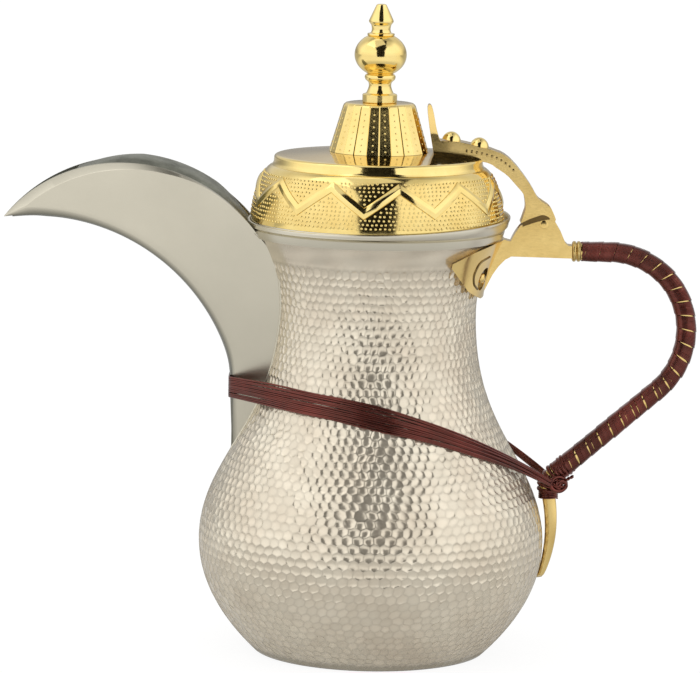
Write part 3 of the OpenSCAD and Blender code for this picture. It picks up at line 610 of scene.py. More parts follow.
def hammered_shell(b):
    """Points, faces and film of the body, with painted shade on the ridges; each hammer mark is a dish that
    meets the next in a ridge.
    """
    rng = np.random.default_rng(7)
    z = np.linspace(0, b.neck_top, 2400)
    r = body_r(b, z)
    s = np.concatenate([[0], np.cumsum(np.hypot(np.diff(z), np.diff(r)))])
    v = np.concatenate([[0], np.cumsum(np.diff(s) * 2 / (r[1:] + r[:-1]))])
    slope = np.gradient(r, s)
    u0, v0, edge = mark_rows(b, rng, z, s, v)
    mid_u, mid_v, corner = cells(u0, v0)
    total = len(u0)
    # Round each point, its triangles in turning order
    owner = corner.ravel()
    tri = np.repeat(np.arange(len(corner)), 3)
    turn = np.arctan2(mid_v[tri] - v0[owner], wrapped(mid_u[tri] - u0[owner]))
    order = np.lexsort((turn, owner))
    owner, tri = owner[order], tri[order]
    starts = np.searchsorted(owner, np.arange(total + 1))
    depth = b.mark_depth * rng.uniform(0.6, 1.35, total)
    at_u, at_v, drop = [mid_u, u0], [mid_v, v0], [np.zeros(len(mid_u)), np.zeros(total)]
    # The film differs at random from mark to mark and grows towards each mark's edge: painted shade along the
    # ridges between marks
    hazy = rng.uniform(0, 0.55, total)
    low = [np.ones(len(mid_u)), hazy]
    first_mark, last_mark = edge, total - edge
    drop[1][first_mark:last_mark] = depth[first_mark:last_mark]
    n = len(mid_u)
    used = n + total
    faces = []
    for i in range(total):
        ring = tri[starts[i]:starts[i + 1]].tolist()
        k = len(ring)
        if i < first_mark or i >= last_mark:
            faces += [(n + i, a, c) for a, c in zip(ring, ring[1:])]
            continue
        inner = list(range(used, used + k))
        outer = list(range(used + k, used + 2 * k))
        used += 2 * k
        du = wrapped(mid_u[ring] - u0[i])
        dv = mid_v[ring] - v0[i]
        for share in (0.55, 0.84):
            at_u.append(u0[i] + share * du)
            at_v.append(v0[i] + share * dv)
            drop.append(np.full(k, depth[i] * (1 - share ** 3.2)))
            low.append(np.full(k, hazy[i] + (1 - hazy[i]) * share ** 5))
        for j in range(k):
            m = (j + 1) % k
            faces.append((n + i, inner[j], inner[m]))
            faces.append((inner[j], outer[j], outer[m], inner[m]))
            faces.append((outer[j], ring[j], ring[m], outer[m]))
    in_row = corner < first_mark
    in_top = corner >= last_mark
    for t in np.nonzero((in_row.sum(1) == 2) | (in_top.sum(1) == 2))[0]:
        pair = [c for c in corner[t] if c < first_mark or c >= last_mark]
        back = wrapped(u0[pair[1]] - u0[pair[0]]) < 0
        a, c = pair[::-1] if back else pair
        faces.append((n + c, n + a, t) if a >= last_mark else (n + a, n + c, t))
    at_u, at_v, drop, low = (np.concatenate(part) for part in (at_u, at_v, drop, low))
    at_r = np.interp(at_v, v, r) - drop * np.sqrt(1 - np.interp(at_v, v, slope) ** 2)
    at_z = np.interp(at_v, v, z) + drop * np.interp(at_v, v, slope)
    # Painted contact shadow: the film is darker in a line round the foot
    foot_line, foot_painted_shadow = 3.2, 1.7
    low = np.where(at_z < foot_line, foot_painted_shadow, low)
    points = round_axis(at_r, at_u, at_z)
    # The plain neck and the wall inside close the shell
    extra, stain = plain_rings(b, u0[:edge])
    rows = [np.arange(n + last_mark, n + total)]
    rows += [used + i * edge + np.arange(edge) for i in range(len(extra))] + [np.arange(n, n + edge)]
    for a, c in zip(rows, rows[1:]):
        faces += [(a[j], a[(j + 1) % edge], c[(j + 1) % edge], c[j]) for j in range(edge)]
    faces = [tuple(int(k) for k in face) for face in faces]
    return np.concatenate([points] + extra), faces, np.concatenate([low] + stain)


class DALLAH_OT_body(bpy.types.Operator):
    """Beaten body with its plain neck, and the disc that closes its foot"""
    bl_idname = "dallah.body"
    bl_label = "Beaten body"

    def execute(self, context):
        b = sizes(context, "body")
        points, faces, low = hammered_shell(b)
        beaten = finish(context, "beaten silver plate")
        marked(piece("beaten_body", (points, faces), beaten, "pot", "body_shell", 180), low)
        r = b.base_r - b.wall - 0.05
        flat, groove, thick = 0.5, 0.2, 1.6
        rings = [(0, flat)]
        for at in (13, 35):
            rings += [(at - 1, flat), (at - 0.4, groove), (at + 0.4, groove), (at + 1, flat)]
        rings += [(r - 3, flat), (r - 2, 0.05), (r - 0.3, 0.05), (r, 0.3), (r, thick), (0, thick)]
        plate = finish(context, "polished silver plate")
        piece("foot_disc", turned(rings, loop=False), plate, "pot", "base_plate", merge=0.001)
        return {"FINISHED"}


class DALLAH_OT_rim(bpy.types.Operator):
    """Mouth band with the uneven lip that stands round the lid"""
    bl_idname = "dallah.rim"
    bl_label = "Mouth band"

    def execute(self, context):
        b = sizes(context, "body")
        top, out = b.lip_top, b.lip_r - 0.7
        crease = b.neck_top + 1.1
        inside = 54.9
        profile = [(b.mouth_r + 0.1, 193.2), (b.mouth_r + 0.7, 194.6), (b.mouth_r + 1.2, 196.2),
                   (58.9, crease - 0.3), (58.4, crease + 0.1), (58.9, crease + 0.5), (60, 199.2),
                   (out - 0.4, 201), (out, top - 1.2), (out - 0.1, top - 0.4), (out - 0.55, top),
                   (out - 1, top - 0.3), (out - 1.2, top - 1.4), (out - 1.6, b.ledge_z + 0.6),
                   (out - 2.4, b.ledge_z), (inside, b.ledge_z), (inside, b.ledge_z - 1.6), (56.4, 197),
                   (b.mouth_r + 0.05, 196.1)]
        points, faces = turned(profile, 192)
        # The lip stands higher towards the handle and on the far side
        angle = np.arctan2(points[:, 1], points[:, 0])
        share = np.clip((points[:, 2] - crease) / (top - crease), 0, 1)
        share[np.hypot(points[:, 0], points[:, 1]) < 58.95] = 0
        lip = 202.25 + 1.65 * np.cos(angle) + 1.7 * np.sin(angle)
        points[:, 2] += share * (lip - top)
        points[:, 0] += 0.9 * share
        piece("mouth_band", (points, faces), finish(context, "polished silver plate"), "pot", "rim_band", 50)
        return {"FINISHED"}


def arc(p, q, r):
    """Centre of the arc of radius r from p to q, on the right of the chord, and points along the arc."""
    d = q - p
    half = np.linalg.norm(d) / 2
    centre = (p + q) / 2 + math.sqrt(r * r - half * half) * np.array([d[1], -d[0]]) / (2 * half)
    ends = [math.atan2(*(end - centre)[::-1]) for end in (p, q)]
    fan = np.linspace(*ends, 400)
    return centre, centre + r * np.stack([np.cos(fan), np.sin(fan)], -1)


def spout_half(k, x, z):
    """Half of the spout's width at a place in its side view."""
    return k.tip_half + 0.15538 * (x + k.reach) + 0.17 * (z - k.tip_z)


def spout_lines(k, b):
    """Upper edge, lower edge with the keel, and seam on the body, as points (x, z), and the arcs' centres."""
    tip = np.array([-k.reach, k.tip_z])
    root = np.array([-b.mouth_r, b.neck_top])
    root_r = 60.6
    keel_x = float(body_r(b, k.keel_foot))
    over, upper = arc(tip, root, k.top_arc)
    under, lower = arc(tip, np.array([-keel_x, k.keel_top]), k.under_arc)
    upper = upper[np.hypot(upper[:, 0], spout_half(k, *upper.T)) > root_r]
    drop = np.linspace(k.keel_top, k.keel_foot, 120)[1:]
    lower = np.concatenate([lower, np.stack([np.full(len(drop), -keel_x), drop], -1)])
    # The edge runs into the keel without a corner
    even = spaced(lower, np.linspace(0, 1, 600))
    ease = np.hanning(101) / np.hanning(101).sum()
    padded = np.concatenate([2 * even[:1] - even[50:0:-1], even, 2 * even[-1:] - even[-2:-52:-1]])
    lower = np.stack([np.convolve(padded[:, c], ease, "valid") for c in (0, 1)], -1)
    # The seam follows the body and, at the top, the lip
    top_z, lip_z = upper[-1][1], 192
    seam_z = np.linspace(k.keel_foot, top_z, 80)
    lip = np.clip((seam_z - lip_z) / (top_z - lip_z), 0, 1)
    sunk = 0.4 + 1.1 * np.clip((seam_z - 170) / 15, 0, 1)
    around = body_r(b, np.minimum(seam_z, b.neck_top)) * (1 - lip) + root_r * lip - sunk
    seam_x = -around
    for _ in range(20):
        seam_x = -np.sqrt(np.maximum(around ** 2 - spout_half(k, seam_x, seam_z) ** 2, 1))
    return upper, lower, np.stack([seam_x, seam_z], -1), over, under


ACROSS = np.linspace(-1, 1, 11)


def strip(line, out, half, bulge, thick):
    """Outside and inside of a sheet along a line (x, z), half to each side and raised by bulge along out."""
    x, z = (line[:, c:c + 1] + bulge * out[:, c:c + 1] for c in (0, 1))
    outside = np.stack([x, half[:, None] * ACROSS, z], -1)
    inward = np.stack([out[:, :1] + 0 * ACROSS, 0 * bulge, out[:, 1:] + 0 * ACROSS], -1)
    return outside, outside - thick * inward


class DALLAH_OT_spout(bpy.types.Operator):
    """Two crescent sheets, the gutter's inside, the keel strip, the cover and the solder along the seam"""
    bl_idname = "dallah.spout"
    bl_label = "Crescent spout"

    def execute(self, context):
        b = sizes(context, "body")
        k = sizes(context, "spout")
        plate = finish(context, "polished silver plate")
        upper, lower, seam, over, under = spout_lines(k, b)
        share = np.linspace(0, 1, 90)
        top = spaced(upper, share)
        low = spaced(lower, share)
        tall = np.maximum(np.linalg.norm(top - low, axis=1), 0.4)
        fits = np.minimum(1, tall / 10)
        # Each row of a side is a share of its height and how far it leans in: round below, bevelled above
        round_w, round_in, top_in, narrow = 5.2, 2.2, 1.7, 0.9
        bevel = fits * (narrow + (k.bevel - narrow) * (1 - np.clip((top[:, 0] + 100) / 22, 0, 1)))
        lower_rows = [0, 0.3, 0.9, 1.9, 3.3, 5.2]
        rows = []
        for d in lower_rows:
            rows.append((d * fits / tall, round_in * fits * (1 - np.sqrt(1 - (1 - d / round_w) ** 2))))
        start = round_w * fits / tall
        stop = 1 - (bevel + 0.25) / tall
        for f in np.linspace(0, 1, 9)[1:]:
            rows.append((start + f * (stop - start), np.zeros(len(share))))
        rows.append((1 - bevel / tall, 0.22 * fits))
        rows.append((1 - 0.35 * fits / tall, 1.25 * fits))
        rows.append((np.ones(len(share)), top_in * fits))
        outer, inner = [], []
        for t, lean in rows:
            up = t[:, None]
            straight = (1 - up) * low[-1] + up * top[-1]
            flat = (1 - up) * low + up * top + share[:, None] ** 2 * (spaced(seam, t) - straight)
            y = np.maximum(spout_half(k, *flat.T) - lean, 0.35)
            outer.append(at_side(flat, y))
            inner.append(at_side(flat, np.maximum(y - k.sheet, 0.1)))
        outer, inner = np.array(outer), np.array(inner)
        # Painted shade: the film darkens the rounded lower edge towards the keel; the bevelled strip along
        # the top is darker too
        bevel_darkening = [0.1, 0.3, 0.7]
        held = np.zeros(2 * len(rows))
        held[:len(lower_rows)] = [(1 - d / round_w) ** 1.2 for d in lower_rows]
        held[len(rows) - len(bevel_darkening):len(rows)] = bevel_darkening
        linings = []
        gutter = inner[2:, top[:, 0] < 4 - k.cover_from]
        for side, place in ((1, "far"), (-1, "near")):
            flip = np.array([1, side, 1])
            wall = piece("spout_side_" + place, slab(outer * flip, inner * flip), plate, "pot",
                         "spout_" + place + "_wall", 25)
            marked(wall, np.repeat(held, len(share)))
            skins = [np.maximum(gutter - [0, d, 0], [-np.inf, 0.02, -np.inf]) * flip for d in (0.05, 0.2)]
            linings.append(slab(*skins[::side]))
        # Inside the open gutter the plate was never polished
        matt = finish(context, "unpolished silver plate")
        piece("gutter_inside", together(*linings), matt, "pot", soft=60)
        # The keel strip bulges between the rounded lower edges
        out = np.where((low[:, 1] < k.keel_top)[:, None], [-1.0, 0.0], (under - low) / k.under_arc)
        half = np.maximum(spout_half(k, *low.T) - round_in * fits, 0.35) + 0.1
        bulge = np.minimum(0.3 * half, 1.1)[:, None] * (1 - ACROSS ** 2) - 0.1
        skins = strip(low, out, half, bulge, k.sheet)
        # The keel strip, the spout's underside, is darkened all over by the film as painted shade
        marked(piece("keel_strip", slab(*(skin[2:] for skin in skins)), plate, "pot", "spout_keel"), 1)
        # The cover lies between the sheets' edges, crowned in its middle and flatter near its end and the lid
        ridge = top[top[:, 0] > -k.cover_from]
        half = spout_half(k, *ridge.T) - top_in + 0.15
        crown = np.clip((ridge[:, 0] + k.cover_from) / 30, 0, 1)
        crown = crown * (0.4 + 0.6 * np.clip((-60 - ridge[:, 0]) / 15, 0, 1))
        bulge = (crown * np.minimum(0.22 * half, 3.0))[:, None] * (1 - ACROSS ** 4) - 0.35
        skins = strip(ridge, (ridge - over) / k.top_arc, half, bulge, k.sheet)
        piece("cover_strip", slab(*skins), finish(context, "tarnished silver plate"), "pot", "spout_cover")
        # Solder along the seam on both sides
        line = spaced(seam, np.linspace(0, 1, 70))
        wires("spout_solder", on_sides(line, spout_half(k, *line.T)), 0.75, 8, plate)
        return {"FINISHED"}


def handle_route(h, b):
    """Middle line of the bar as rows of x, z and heading, and where its tail starts."""
    mid_z = h.bar_z - h.top_bend
    low_mid = np.array([h.bend_x + h.top_bend - h.low_bend, mid_z])
    end = np.array([float(body_r(b, h.end_z)) + h.stand_off, h.end_z])
    d = end - low_mid
    low_angle = math.acos(h.low_bend / np.linalg.norm(d)) + math.atan2(d[1], d[0])
    low_end = low_mid + h.low_bend * np.array([math.cos(low_angle), math.sin(low_angle)])
    quarter = math.pi / 2
    heading = low_angle - quarter
    tail_bend, tail_lean = 9, math.radians(-83)
    rows = [(x, h.bar_z, 0.0) for x in np.linspace(h.bar_x, h.bend_x, 12)]

    def bend(middle, r, angles, shift):
        """Rows along a bend; shift leads from the angle about its middle to the heading."""
        for a in angles[1:]:
            rows.append((middle[0] + r * math.cos(a), middle[1] + r * math.sin(a), a + shift))

    bend((h.bend_x, mid_z), h.top_bend, np.linspace(quarter, 0, 40), -quarter)
    bend(low_mid, h.low_bend, np.linspace(0, low_angle, 30), -quarter)
    rows += [(*(low_end + t * (end - low_end)), heading) for t in np.linspace(0, 1, 24)[1:]]
    to_end = len(rows)
    turn = end + tail_bend * np.array([math.cos(low_angle), math.sin(low_angle)])
    bend(turn, tail_bend, np.linspace(heading, tail_lean, 12) - quarter, quarter)
    return np.array(rows), to_end


def round_bar(x, z, heading, up, aside):
    """Points beside the bar's middle line, up across its heading and aside along Y."""
    return np.stack([x - up * np.sin(heading), aside, z + up * np.cos(heading)], -1)


def squarish(around, power):
    """Reach of a rounded square round its middle; a higher power makes it squarer."""
    return (np.abs(np.cos(around)) ** power + np.abs(np.sin(around)) ** power) ** (-1 / power)


def bar_ring(x, z, heading, high, wide):
    """A rounded-square section of the bar, square to its heading."""
    around = np.arange(24) * TAU / 24
    swell = squarish(around, 3)
    return round_bar(x, z, heading, high * swell * np.cos(around), wide * swell * np.sin(around))


class DALLAH_OT_handle(bpy.types.Operator):
    """Bent bar with its flat tail, and the two beads in front of the winding"""
    bl_idname = "dallah.handle"
    bl_label = "Handle bar"

    def execute(self, context):
        b = sizes(context, "body")
        h = sizes(context, "handle")
        brass = finish(context, "cast yellow brass")
        route, _ = handle_route(h, b)
        wound = h.wound_half - 2 * h.strand_r - 0.05
        rings = [bar_ring(*row, wound, wound) for row in route]
        # The tail nears the belly, and gets thinner, on its way down to a blunt tip
        x0, z0, lean = route[-1]
        tail_thick, tip_thick, tail_half, clear = 6.4, 2.6, 3, 0.1
        stand = x0 - tail_thick / 2 - float(body_r(b, z0))
        for z in np.linspace(z0, h.tail_tip, 26)[1:]:
            up = z - h.tail_tip
            part = up / (z0 - h.tail_tip)
            near = float(body_r(b, z)) + clear + (stand - clear) * part ** 2
            thick = tip_thick + (tail_thick - tip_thick) * math.sqrt(part)
            blunt = math.sqrt(max(0.0, 1 - max(0.0, 1 - up / 2) ** 2)) * 0.85 + 0.15
            rings.append(bar_ring(near + thick / 2, z, lean, thick / 2, tail_half * blunt))
        piece("bent_bar", barred(np.array(rings)), brass, "pot", "handle_bar", 50)
        beads = []
        a = np.arange(12) * TAU / 12
        bead_r, bead_out, bead_half = 3.75, 1.08, 1.02
        for at in (1.05, 3.15):
            section = np.stack([bead_r + bead_out * np.cos(a), at + bead_half * np.sin(a)], -1)
            points, faces = turned(section, 40)
            along = np.stack([h.bar_x + points[:, 2], points[:, 0], h.bar_z + points[:, 1]], -1)
            beads.append((along, faces))
        marked(piece("grip_beads", together(*beads), brass, "pot", "grip_ferrule"), 0.3)
        return {"FINISHED"}


class DALLAH_OT_grip(bpy.types.Operator):
    """Band of fine wires wound side by side along the grip"""
    bl_idname = "dallah.grip"
    bl_label = "Grip winding"

    def execute(self, context):
        b = sizes(context, "body")
        h = sizes(context, "handle")
        route, to_end = handle_route(h, b)
        route = route[:to_end]
        run = run_along(route[:, :2])
        ferrule, bare_end = 4.4, 1.5
        first = ferrule
        last = run[-1] - bare_end
        pitch = (last - first) / h.turns
        turn = np.linspace(-1, h.turns + 1, (h.turns + 2) * 22 + 1)
        around = turn * TAU
        c, s = np.cos(around), np.sin(around)
        swell = squarish(around, 3.2) * (h.wound_half - h.strand_r)
        # Brass shows on both sides in slits, hair-fine at the top, wider and doubled along the lower run
        rng = np.random.default_rng(3)
        knots = np.arange(-2, h.turns + 3)
        open_side = 0.1 + 0.9 * s ** 2
        wider = np.interp(turn / h.turns, [0, 0.12, 0.25, 1], [0.2, 0.35, 0.85, 1])
        slit = 1.15 * wider * open_side * np.interp(turn, knots, rng.uniform(0.5, 1, len(knots)))
        twice = np.clip(turn / h.turns * 4 - 1.8, 0, 1) * open_side
        second = 0.8 * twice * np.interp(turn, knots, np.maximum(rng.uniform(-0.5, 1, len(knots)), 0))
        bumps = np.interp(turn, knots, rng.uniform(-0.12, 0.12, len(knots)))
        step = (pitch - slit - second) / h.strands
        split_after = 6
        paths = []
        for strand in range(h.strands):
            at = first + turn * pitch + (strand + 0.5 - h.strands / 2) * step
            at = at + (strand > split_after) * second
            x, z, lean = (np.interp(at, run, route[:, col]) for col in range(3))
            over = swell + bumps + 0.3 * strand / h.strands
            line = round_bar(x, z, lean, over * c, over * s)
            paths.append(line[(at > first) & (at < last)])
        wires("grip_wires", paths, h.strand_r, 6, finish(context, "darkened copper wire"), "grip_winding")
        return {"FINISHED"}


def tie_line(h, b, k, up, spread, lift, angles):
    """One wire of the tie, taut round the keel, the belly and the bar, sinking towards the bar.

    up counts wires from the middle one, and spread is a wire's height at the keel, the belly and the bar."""
    route, to_end = handle_route(h, b)
    end, turn_end = route[to_end - 1], route[-1]
    bar = (end[:2] + turn_end[:2]) / 2
    lean = (end[0] - turn_end[0]) / (end[1] - turn_end[1])
    keel_x = float(body_r(b, k.keel_foot))
    span = bar[0] + keel_x

    def height(x, gather=0.0):
        """Height of the wire at x; gather draws the wires together near the bar."""
        part = np.clip((x + keel_x) / span, 0, 1)
        wide = np.interp(part, [0, 0.45, 1], spread) * (1 - gather * np.clip(3 * part - 1.5, 0, 1))
        return h.tie_keel_z + up * wide - (h.tie_keel_z - h.tie_bar_z) * part ** 2.5

    facing = np.radians(np.arange(0, 360, 3))
    r = np.full(len(facing), b.waist_r)
    for _ in range(10):
        r = body_r(b, height(r * np.cos(facing)))
    ways = np.stack([np.cos(facing), np.sin(facing)])
    spots = (r * ways).T
    half = spout_half(k, -keel_x, h.tie_keel_z + up) + 0.35
    spots = np.concatenate([spots, [[-keel_x - 0.6, -half], [-keel_x - 0.6, half]]])
    bar_x = bar[0] + lean * (h.tie_bar_z + up * spread[2] - bar[1])
    reach = (spots @ ways).max(0)
    reach = np.maximum(reach, bar_x * np.cos(facing) + h.bar_half * 1.2) + h.tie_r + 0.1
    gap = np.cos(angles[:, None] - facing[None, :])
    rho = np.where(gap > 0.15, reach / np.maximum(gap, 0.15), 1e9).min(1) + lift
    gather = 0.5 * np.clip(2 * np.sin(angles), 0.3, 1)
    return round_axis(rho, angles, height(rho * np.cos(angles), gather))


class DALLAH_OT_tie(bpy.types.Operator):
    """Wires tied round the keel, the belly and the bar, with the knot and the binding at the tail"""
    bl_idname = "dallah.tie"
    bl_label = "Tie and knot"

    def execute(self, context):
        b = sizes(context, "body")
        h = sizes(context, "handle")
        k = sizes(context, "spout")
        copper = finish(context, "darkened copper wire")
        rng = np.random.default_rng(11)
        even = np.linspace(0, TAU, 145)[:-1]
        angles = even - math.radians(10) * np.sin(2 * even)
        spread = [0.75, 0.86, 0.3]
        paths = []
        for w in range(h.tie_wires):
            up = w - (h.tie_wires - 1) / 2
            lift = 0.6 * (w % 3) * np.clip(np.cos(angles / 2) ** 2 * 1.8 - 0.8, 0, 1)
            line = tie_line(h, b, k, up, spread, lift, angles)
            phase = rng.uniform(0, TAU, 3)
            line[:, 2] += 0.16 * np.sin(3 * angles + phase[0]) + 0.1 * np.sin(7 * angles + phase[1])
            paths.append(line)
        wires("tie_strap", paths, h.tie_r, 8, copper, "tie_wires", closed=True)
        # The bundle goes round the bar's turn, makes a round knot in front of it and binds the tail's top
        route, to_end = handle_route(h, b)
        x0, z0, _ = route[-1]
        turn = route[to_end - 4:]
        run = run_along(turn[:, :2])
        around = np.linspace(0, 9 * TAU, 240)
        x, z, lean = (np.interp(around / around[-1] * run[-1], run, turn[:, c]) for c in range(3))
        reach = h.wound_half - 0.3 + 0.2 * np.sin(2.3 * around)
        ropes = [round_bar(x, z, lean, reach * np.cos(around), reach * np.sin(around))]
        rope_r = 0.95
        knot_x, knot_y, knot_z = x0 + 4.6, -5.6, z0 + 4.1
        loops = ((0, 3.6, 0.5, 2), (1.3, 2.3, -0.7, 2), (-0.9, 1.5, 1.2, 2), (1.2, 0.9, 0.2, 1))
        for shift, wide, tilt, turns in loops:
            around = np.linspace(0.4, turns * TAU, 26 * turns)
            x, z = wide * np.cos(around), 0.9 * wide * np.sin(around)
            y = knot_y - 0.5 * around / TAU + 0.35 * (x * math.cos(tilt) + z * math.sin(tilt))
            ropes.append(np.stack([knot_x + shift + x, y, knot_z - 0.4 * shift + z], -1))
        wires("knot_ropes", ropes, rope_r, 10, copper, "tie_binding")
        # Two twisted ends stick out of the knot, and thin turns hold the tail
        binding = []
        stub = np.linspace(0, 1, 20)
        for phase in (0, math.pi):
            y, z = (0.42 * way(9 * stub + phase) for way in (np.cos, np.sin))
            binding.append(np.stack([x0 + 7 + 4.4 * stub, y - 6.4, z0 + 5.6 + 2.4 * stub + z], -1))
        around = np.linspace(0, 5 * TAU, 140)
        x, y, z = 4.2 * np.cos(around), 4 * np.sin(around), 0.82 * around / TAU
        binding.append(np.stack([x0 + 0.3 + x, y, z0 - 3.6 + z], -1))
        wires("tail_binding", binding, h.tie_r, 8, copper)
        return {"FINISHED"}


def skirt_line(d, steps=80):
    """Outside of the lid's skirt as points (r, z), from its foot."""
    t = 1 - (1 - np.linspace(0, 1, steps)) ** 1.5
    return np.stack([d.cap_r + (d.skirt_r - d.cap_r) * np.sqrt(1 - t ** 1.6), d.skirt_z + t * d.skirt_h], -1)


class DALLAH_OT_skirt(bpy.types.Operator):
    """Lid skirt with its raised zigzag ribbon on a stippled ground"""
    bl_idname = "dallah.skirt"
    bl_label = "Lid skirt"

    def execute(self, context):
        d = sizes(context, "lid")
        gilt = finish(context, "gilt brass")
        line = skirt_line(d)
        sides = 192
        inner = line[::-1] - [d.sheet, 0]
        inner[:, 1] = d.skirt_z + (inner[:, 1] - d.skirt_z) * (1 - d.sheet / d.skirt_h)
        bowl = piece("lid_bowl", turned(np.concatenate([line, inner]), sides), gilt, "lid", "lid_skirt")
        ground = (line[:, 1] > d.skirt_z + 2) & (line[:, 1] < d.cap_z - 3.2)
        marked(bowl, np.repeat(np.concatenate([0.45 * ground, np.zeros(len(inner))]), sides))
        run = run_along(line)
        ahead = np.gradient(line, run, axis=0)

        def on_skirt(angle, s, up):
            """Points at run s, raised by up, and the directions they face."""
            r, z = (np.interp(s, run, line[:, c]) for c in (0, 1))
            dr, dz = (np.interp(s, run, ahead[:, c]) for c in (0, 1))
            face = round_axis(dz, angle, -dr)
            face /= np.linalg.norm(face, axis=-1, keepdims=True)
            return round_axis(r, angle, z) + up * face, face

        low, high = np.interp([d.zigzag_low, d.zigzag_high], line[:, 1], run)
        # An upper turn of the zigzag stands 10 degrees right of the front
        front = math.radians(-80)

        def middle(angle):
            """Run of the ribbon's middle at an angle."""
            phase = (angle - front) * d.zigzags / TAU % 1
            return high + (low - high) * (1 - np.abs(1 - 2 * phase))

        columns = d.zigzags * 2 * 9
        angle = front + np.arange(columns) * TAU / columns
        mean_r = 55
        slant = math.hypot(1, (high - low) / (math.pi * mean_r / d.zigzags))
        half = d.ribbon / 2 * slant
        rise = [(1.06, -0.3), (1, 0.1), (0.9, 0.42), (0.8, 0.5), (0.06, 0.98)]
        cut = [(-w, u) for w, u in rise] + [(0, 1)] + rise[::-1]
        rows = [on_skirt(angle, middle(angle) + w * half, u * d.ribbon_up)[0] for w, u in cut]
        ribbon = np.concatenate(rows), grid(len(rows), columns, loop=True)
        piece("zigzag_ribbon", ribbon, gilt, "lid", soft=30)
        # Rows of studs on the ground, wherever the ribbon leaves room
        rng = np.random.default_rng(5)
        places, facings = [], []
        first, last = np.interp([d.skirt_z + 2.6, d.cap_z - 3.5], line[:, 1], run)
        rows = int((last - first) / (d.stud_pitch * 0.87))
        for i in range(rows + 1):
            s = first + (last - first) * i / rows
            n = int(round(TAU * np.interp(s, run, line[:, 0]) / d.stud_pitch))
            angle = (np.arange(n) + 0.5 * (i % 2)) * TAU / n + rng.normal(0, 0.003, n)
            free = np.abs(s - middle(angle)) > half * 1.1 + d.stud_r * 0.9
            at, face = on_skirt(angle[free], s + rng.normal(0, 0.1, free.sum()), 0)
            places.append(at)
            facings.append(face)
        studs("skirt_studs", np.concatenate(places), np.concatenate(facings), d.stud_r, 0.7, gilt)
        return {"FINISHED"}


class DALLAH_OT_cap(bpy.types.Operator):
    """Smooth cap with an upright edge"""
    bl_idname = "dallah.cap"
    bl_label = "Lid cap"

    def execute(self, context):
        d = sizes(context, "lid")
        a = np.linspace(0, math.pi / 2, 6)
        bore, inside = 2.1, d.cap_r - d.sheet
        foot = [(d.cap_r - 0.3, d.cap_z - 0.3), (d.cap_r + 1.6, d.cap_z - 0.7),
                (d.cap_r + 0.8, d.cap_z + 0.4), (d.cap_r + 0.4, d.cap_z + 1.4)]
        edge = np.stack([d.cap_r - 1.3 + 1.6 * np.cos(a), d.cap_edge - 1.3 + 1.3 * np.sin(a)], -1)
        top = [(d.cap_r - 3.2, 230.57), (40, 230.95), (30, 231.75), (d.tower_foot_r + 1, d.crown_z - 0.1),
               (d.tower_foot_r - 1, d.crown_z), (bore, d.crown_z)]
        under = [(bore, d.crown_z - d.sheet), (d.tower_foot_r, d.crown_z - d.sheet),
                 (inside, d.cap_edge - d.sheet), (inside, d.cap_z)]
        profile = np.concatenate([foot, edge, top, under])
        cap = piece("cap_disc", turned(profile, 160), finish(context, "gilt brass"), "lid", "lid_cap")
        # The flat top is browner than the edge
        spots = vertices(cap.data)
        marked(cap, np.hypot(spots[:, 0], spots[:, 1]) < d.cap_r - 3)
        return {"FINISHED"}


class DALLAH_OT_tower(bpy.types.Operator):
    """Tower of flat panels with grooves between them and a row of bosses down each panel"""
    bl_idname = "dallah.tower"
    bl_label = "Lid tower"

    def execute(self, context):
        d = sizes(context, "lid")
        gilt = finish(context, "gilt brass")
        wide = TAU / d.panels
        mid = np.arange(d.panels) * wide + wide / 2 - math.pi / 2
        part = np.array([-0.5, -0.44, -0.37, -0.2, 0, 0.2, 0.37, 0.44]) * wide
        angle = (mid[:, None] + part).ravel()
        flat = math.cos(wide / 2) / np.cos(part)
        flat[0] -= 0.013
        ring = np.tile(flat, d.panels)
        top, top_r, foot_r, bore = d.tower_top, d.tower_top_r, d.tower_foot_r, 2.1
        tall = top - d.tower_z

        def side(t):
            """Radius and height at a share of the side."""
            return foot_r + (top_r + 0.4 - foot_r) * t, d.tower_z + t * (tall - 1.6)

        # Each row has a radius, a height and how much of the panels' cut it takes
        rows = [(*side(t), 1) for t in np.linspace(0, 1, 14)]
        rows += [(top_r, top - 0.8, 0.8), (top_r - 0.7, top - 0.2, 0.5), (top_r - 1.6, top, 0.1),
                 (9, top, 0), (bore, top, 0), (bore, top - 1.2, 0), (top_r - 3, top - 1.4, 0),
                 (foot_r - 2.2, d.tower_z, 0)]
        points = [round_axis(r * (1 + cut * (ring - 1)), angle, z) for r, z, cut in rows]
        panels = np.concatenate(points), grid(len(rows), len(angle), loop=True)
        piece("tower_panels", panels, gilt, "lid", "lid_tower", 30)
        lean = math.atan2(foot_r - top_r, tall)
        places, facings = [], []
        for t in (np.arange(7) + 0.62) / 7.6:
            r, z = side(t)
            places.append(round_axis(r * math.cos(wide / 2), mid, z))
            facings.append(round_axis(math.cos(lean), mid, math.sin(lean)))
        studs("tower_bosses", np.concatenate(places), np.concatenate(facings), 0.48, 0.55, gilt)
        return {"FINISHED"}


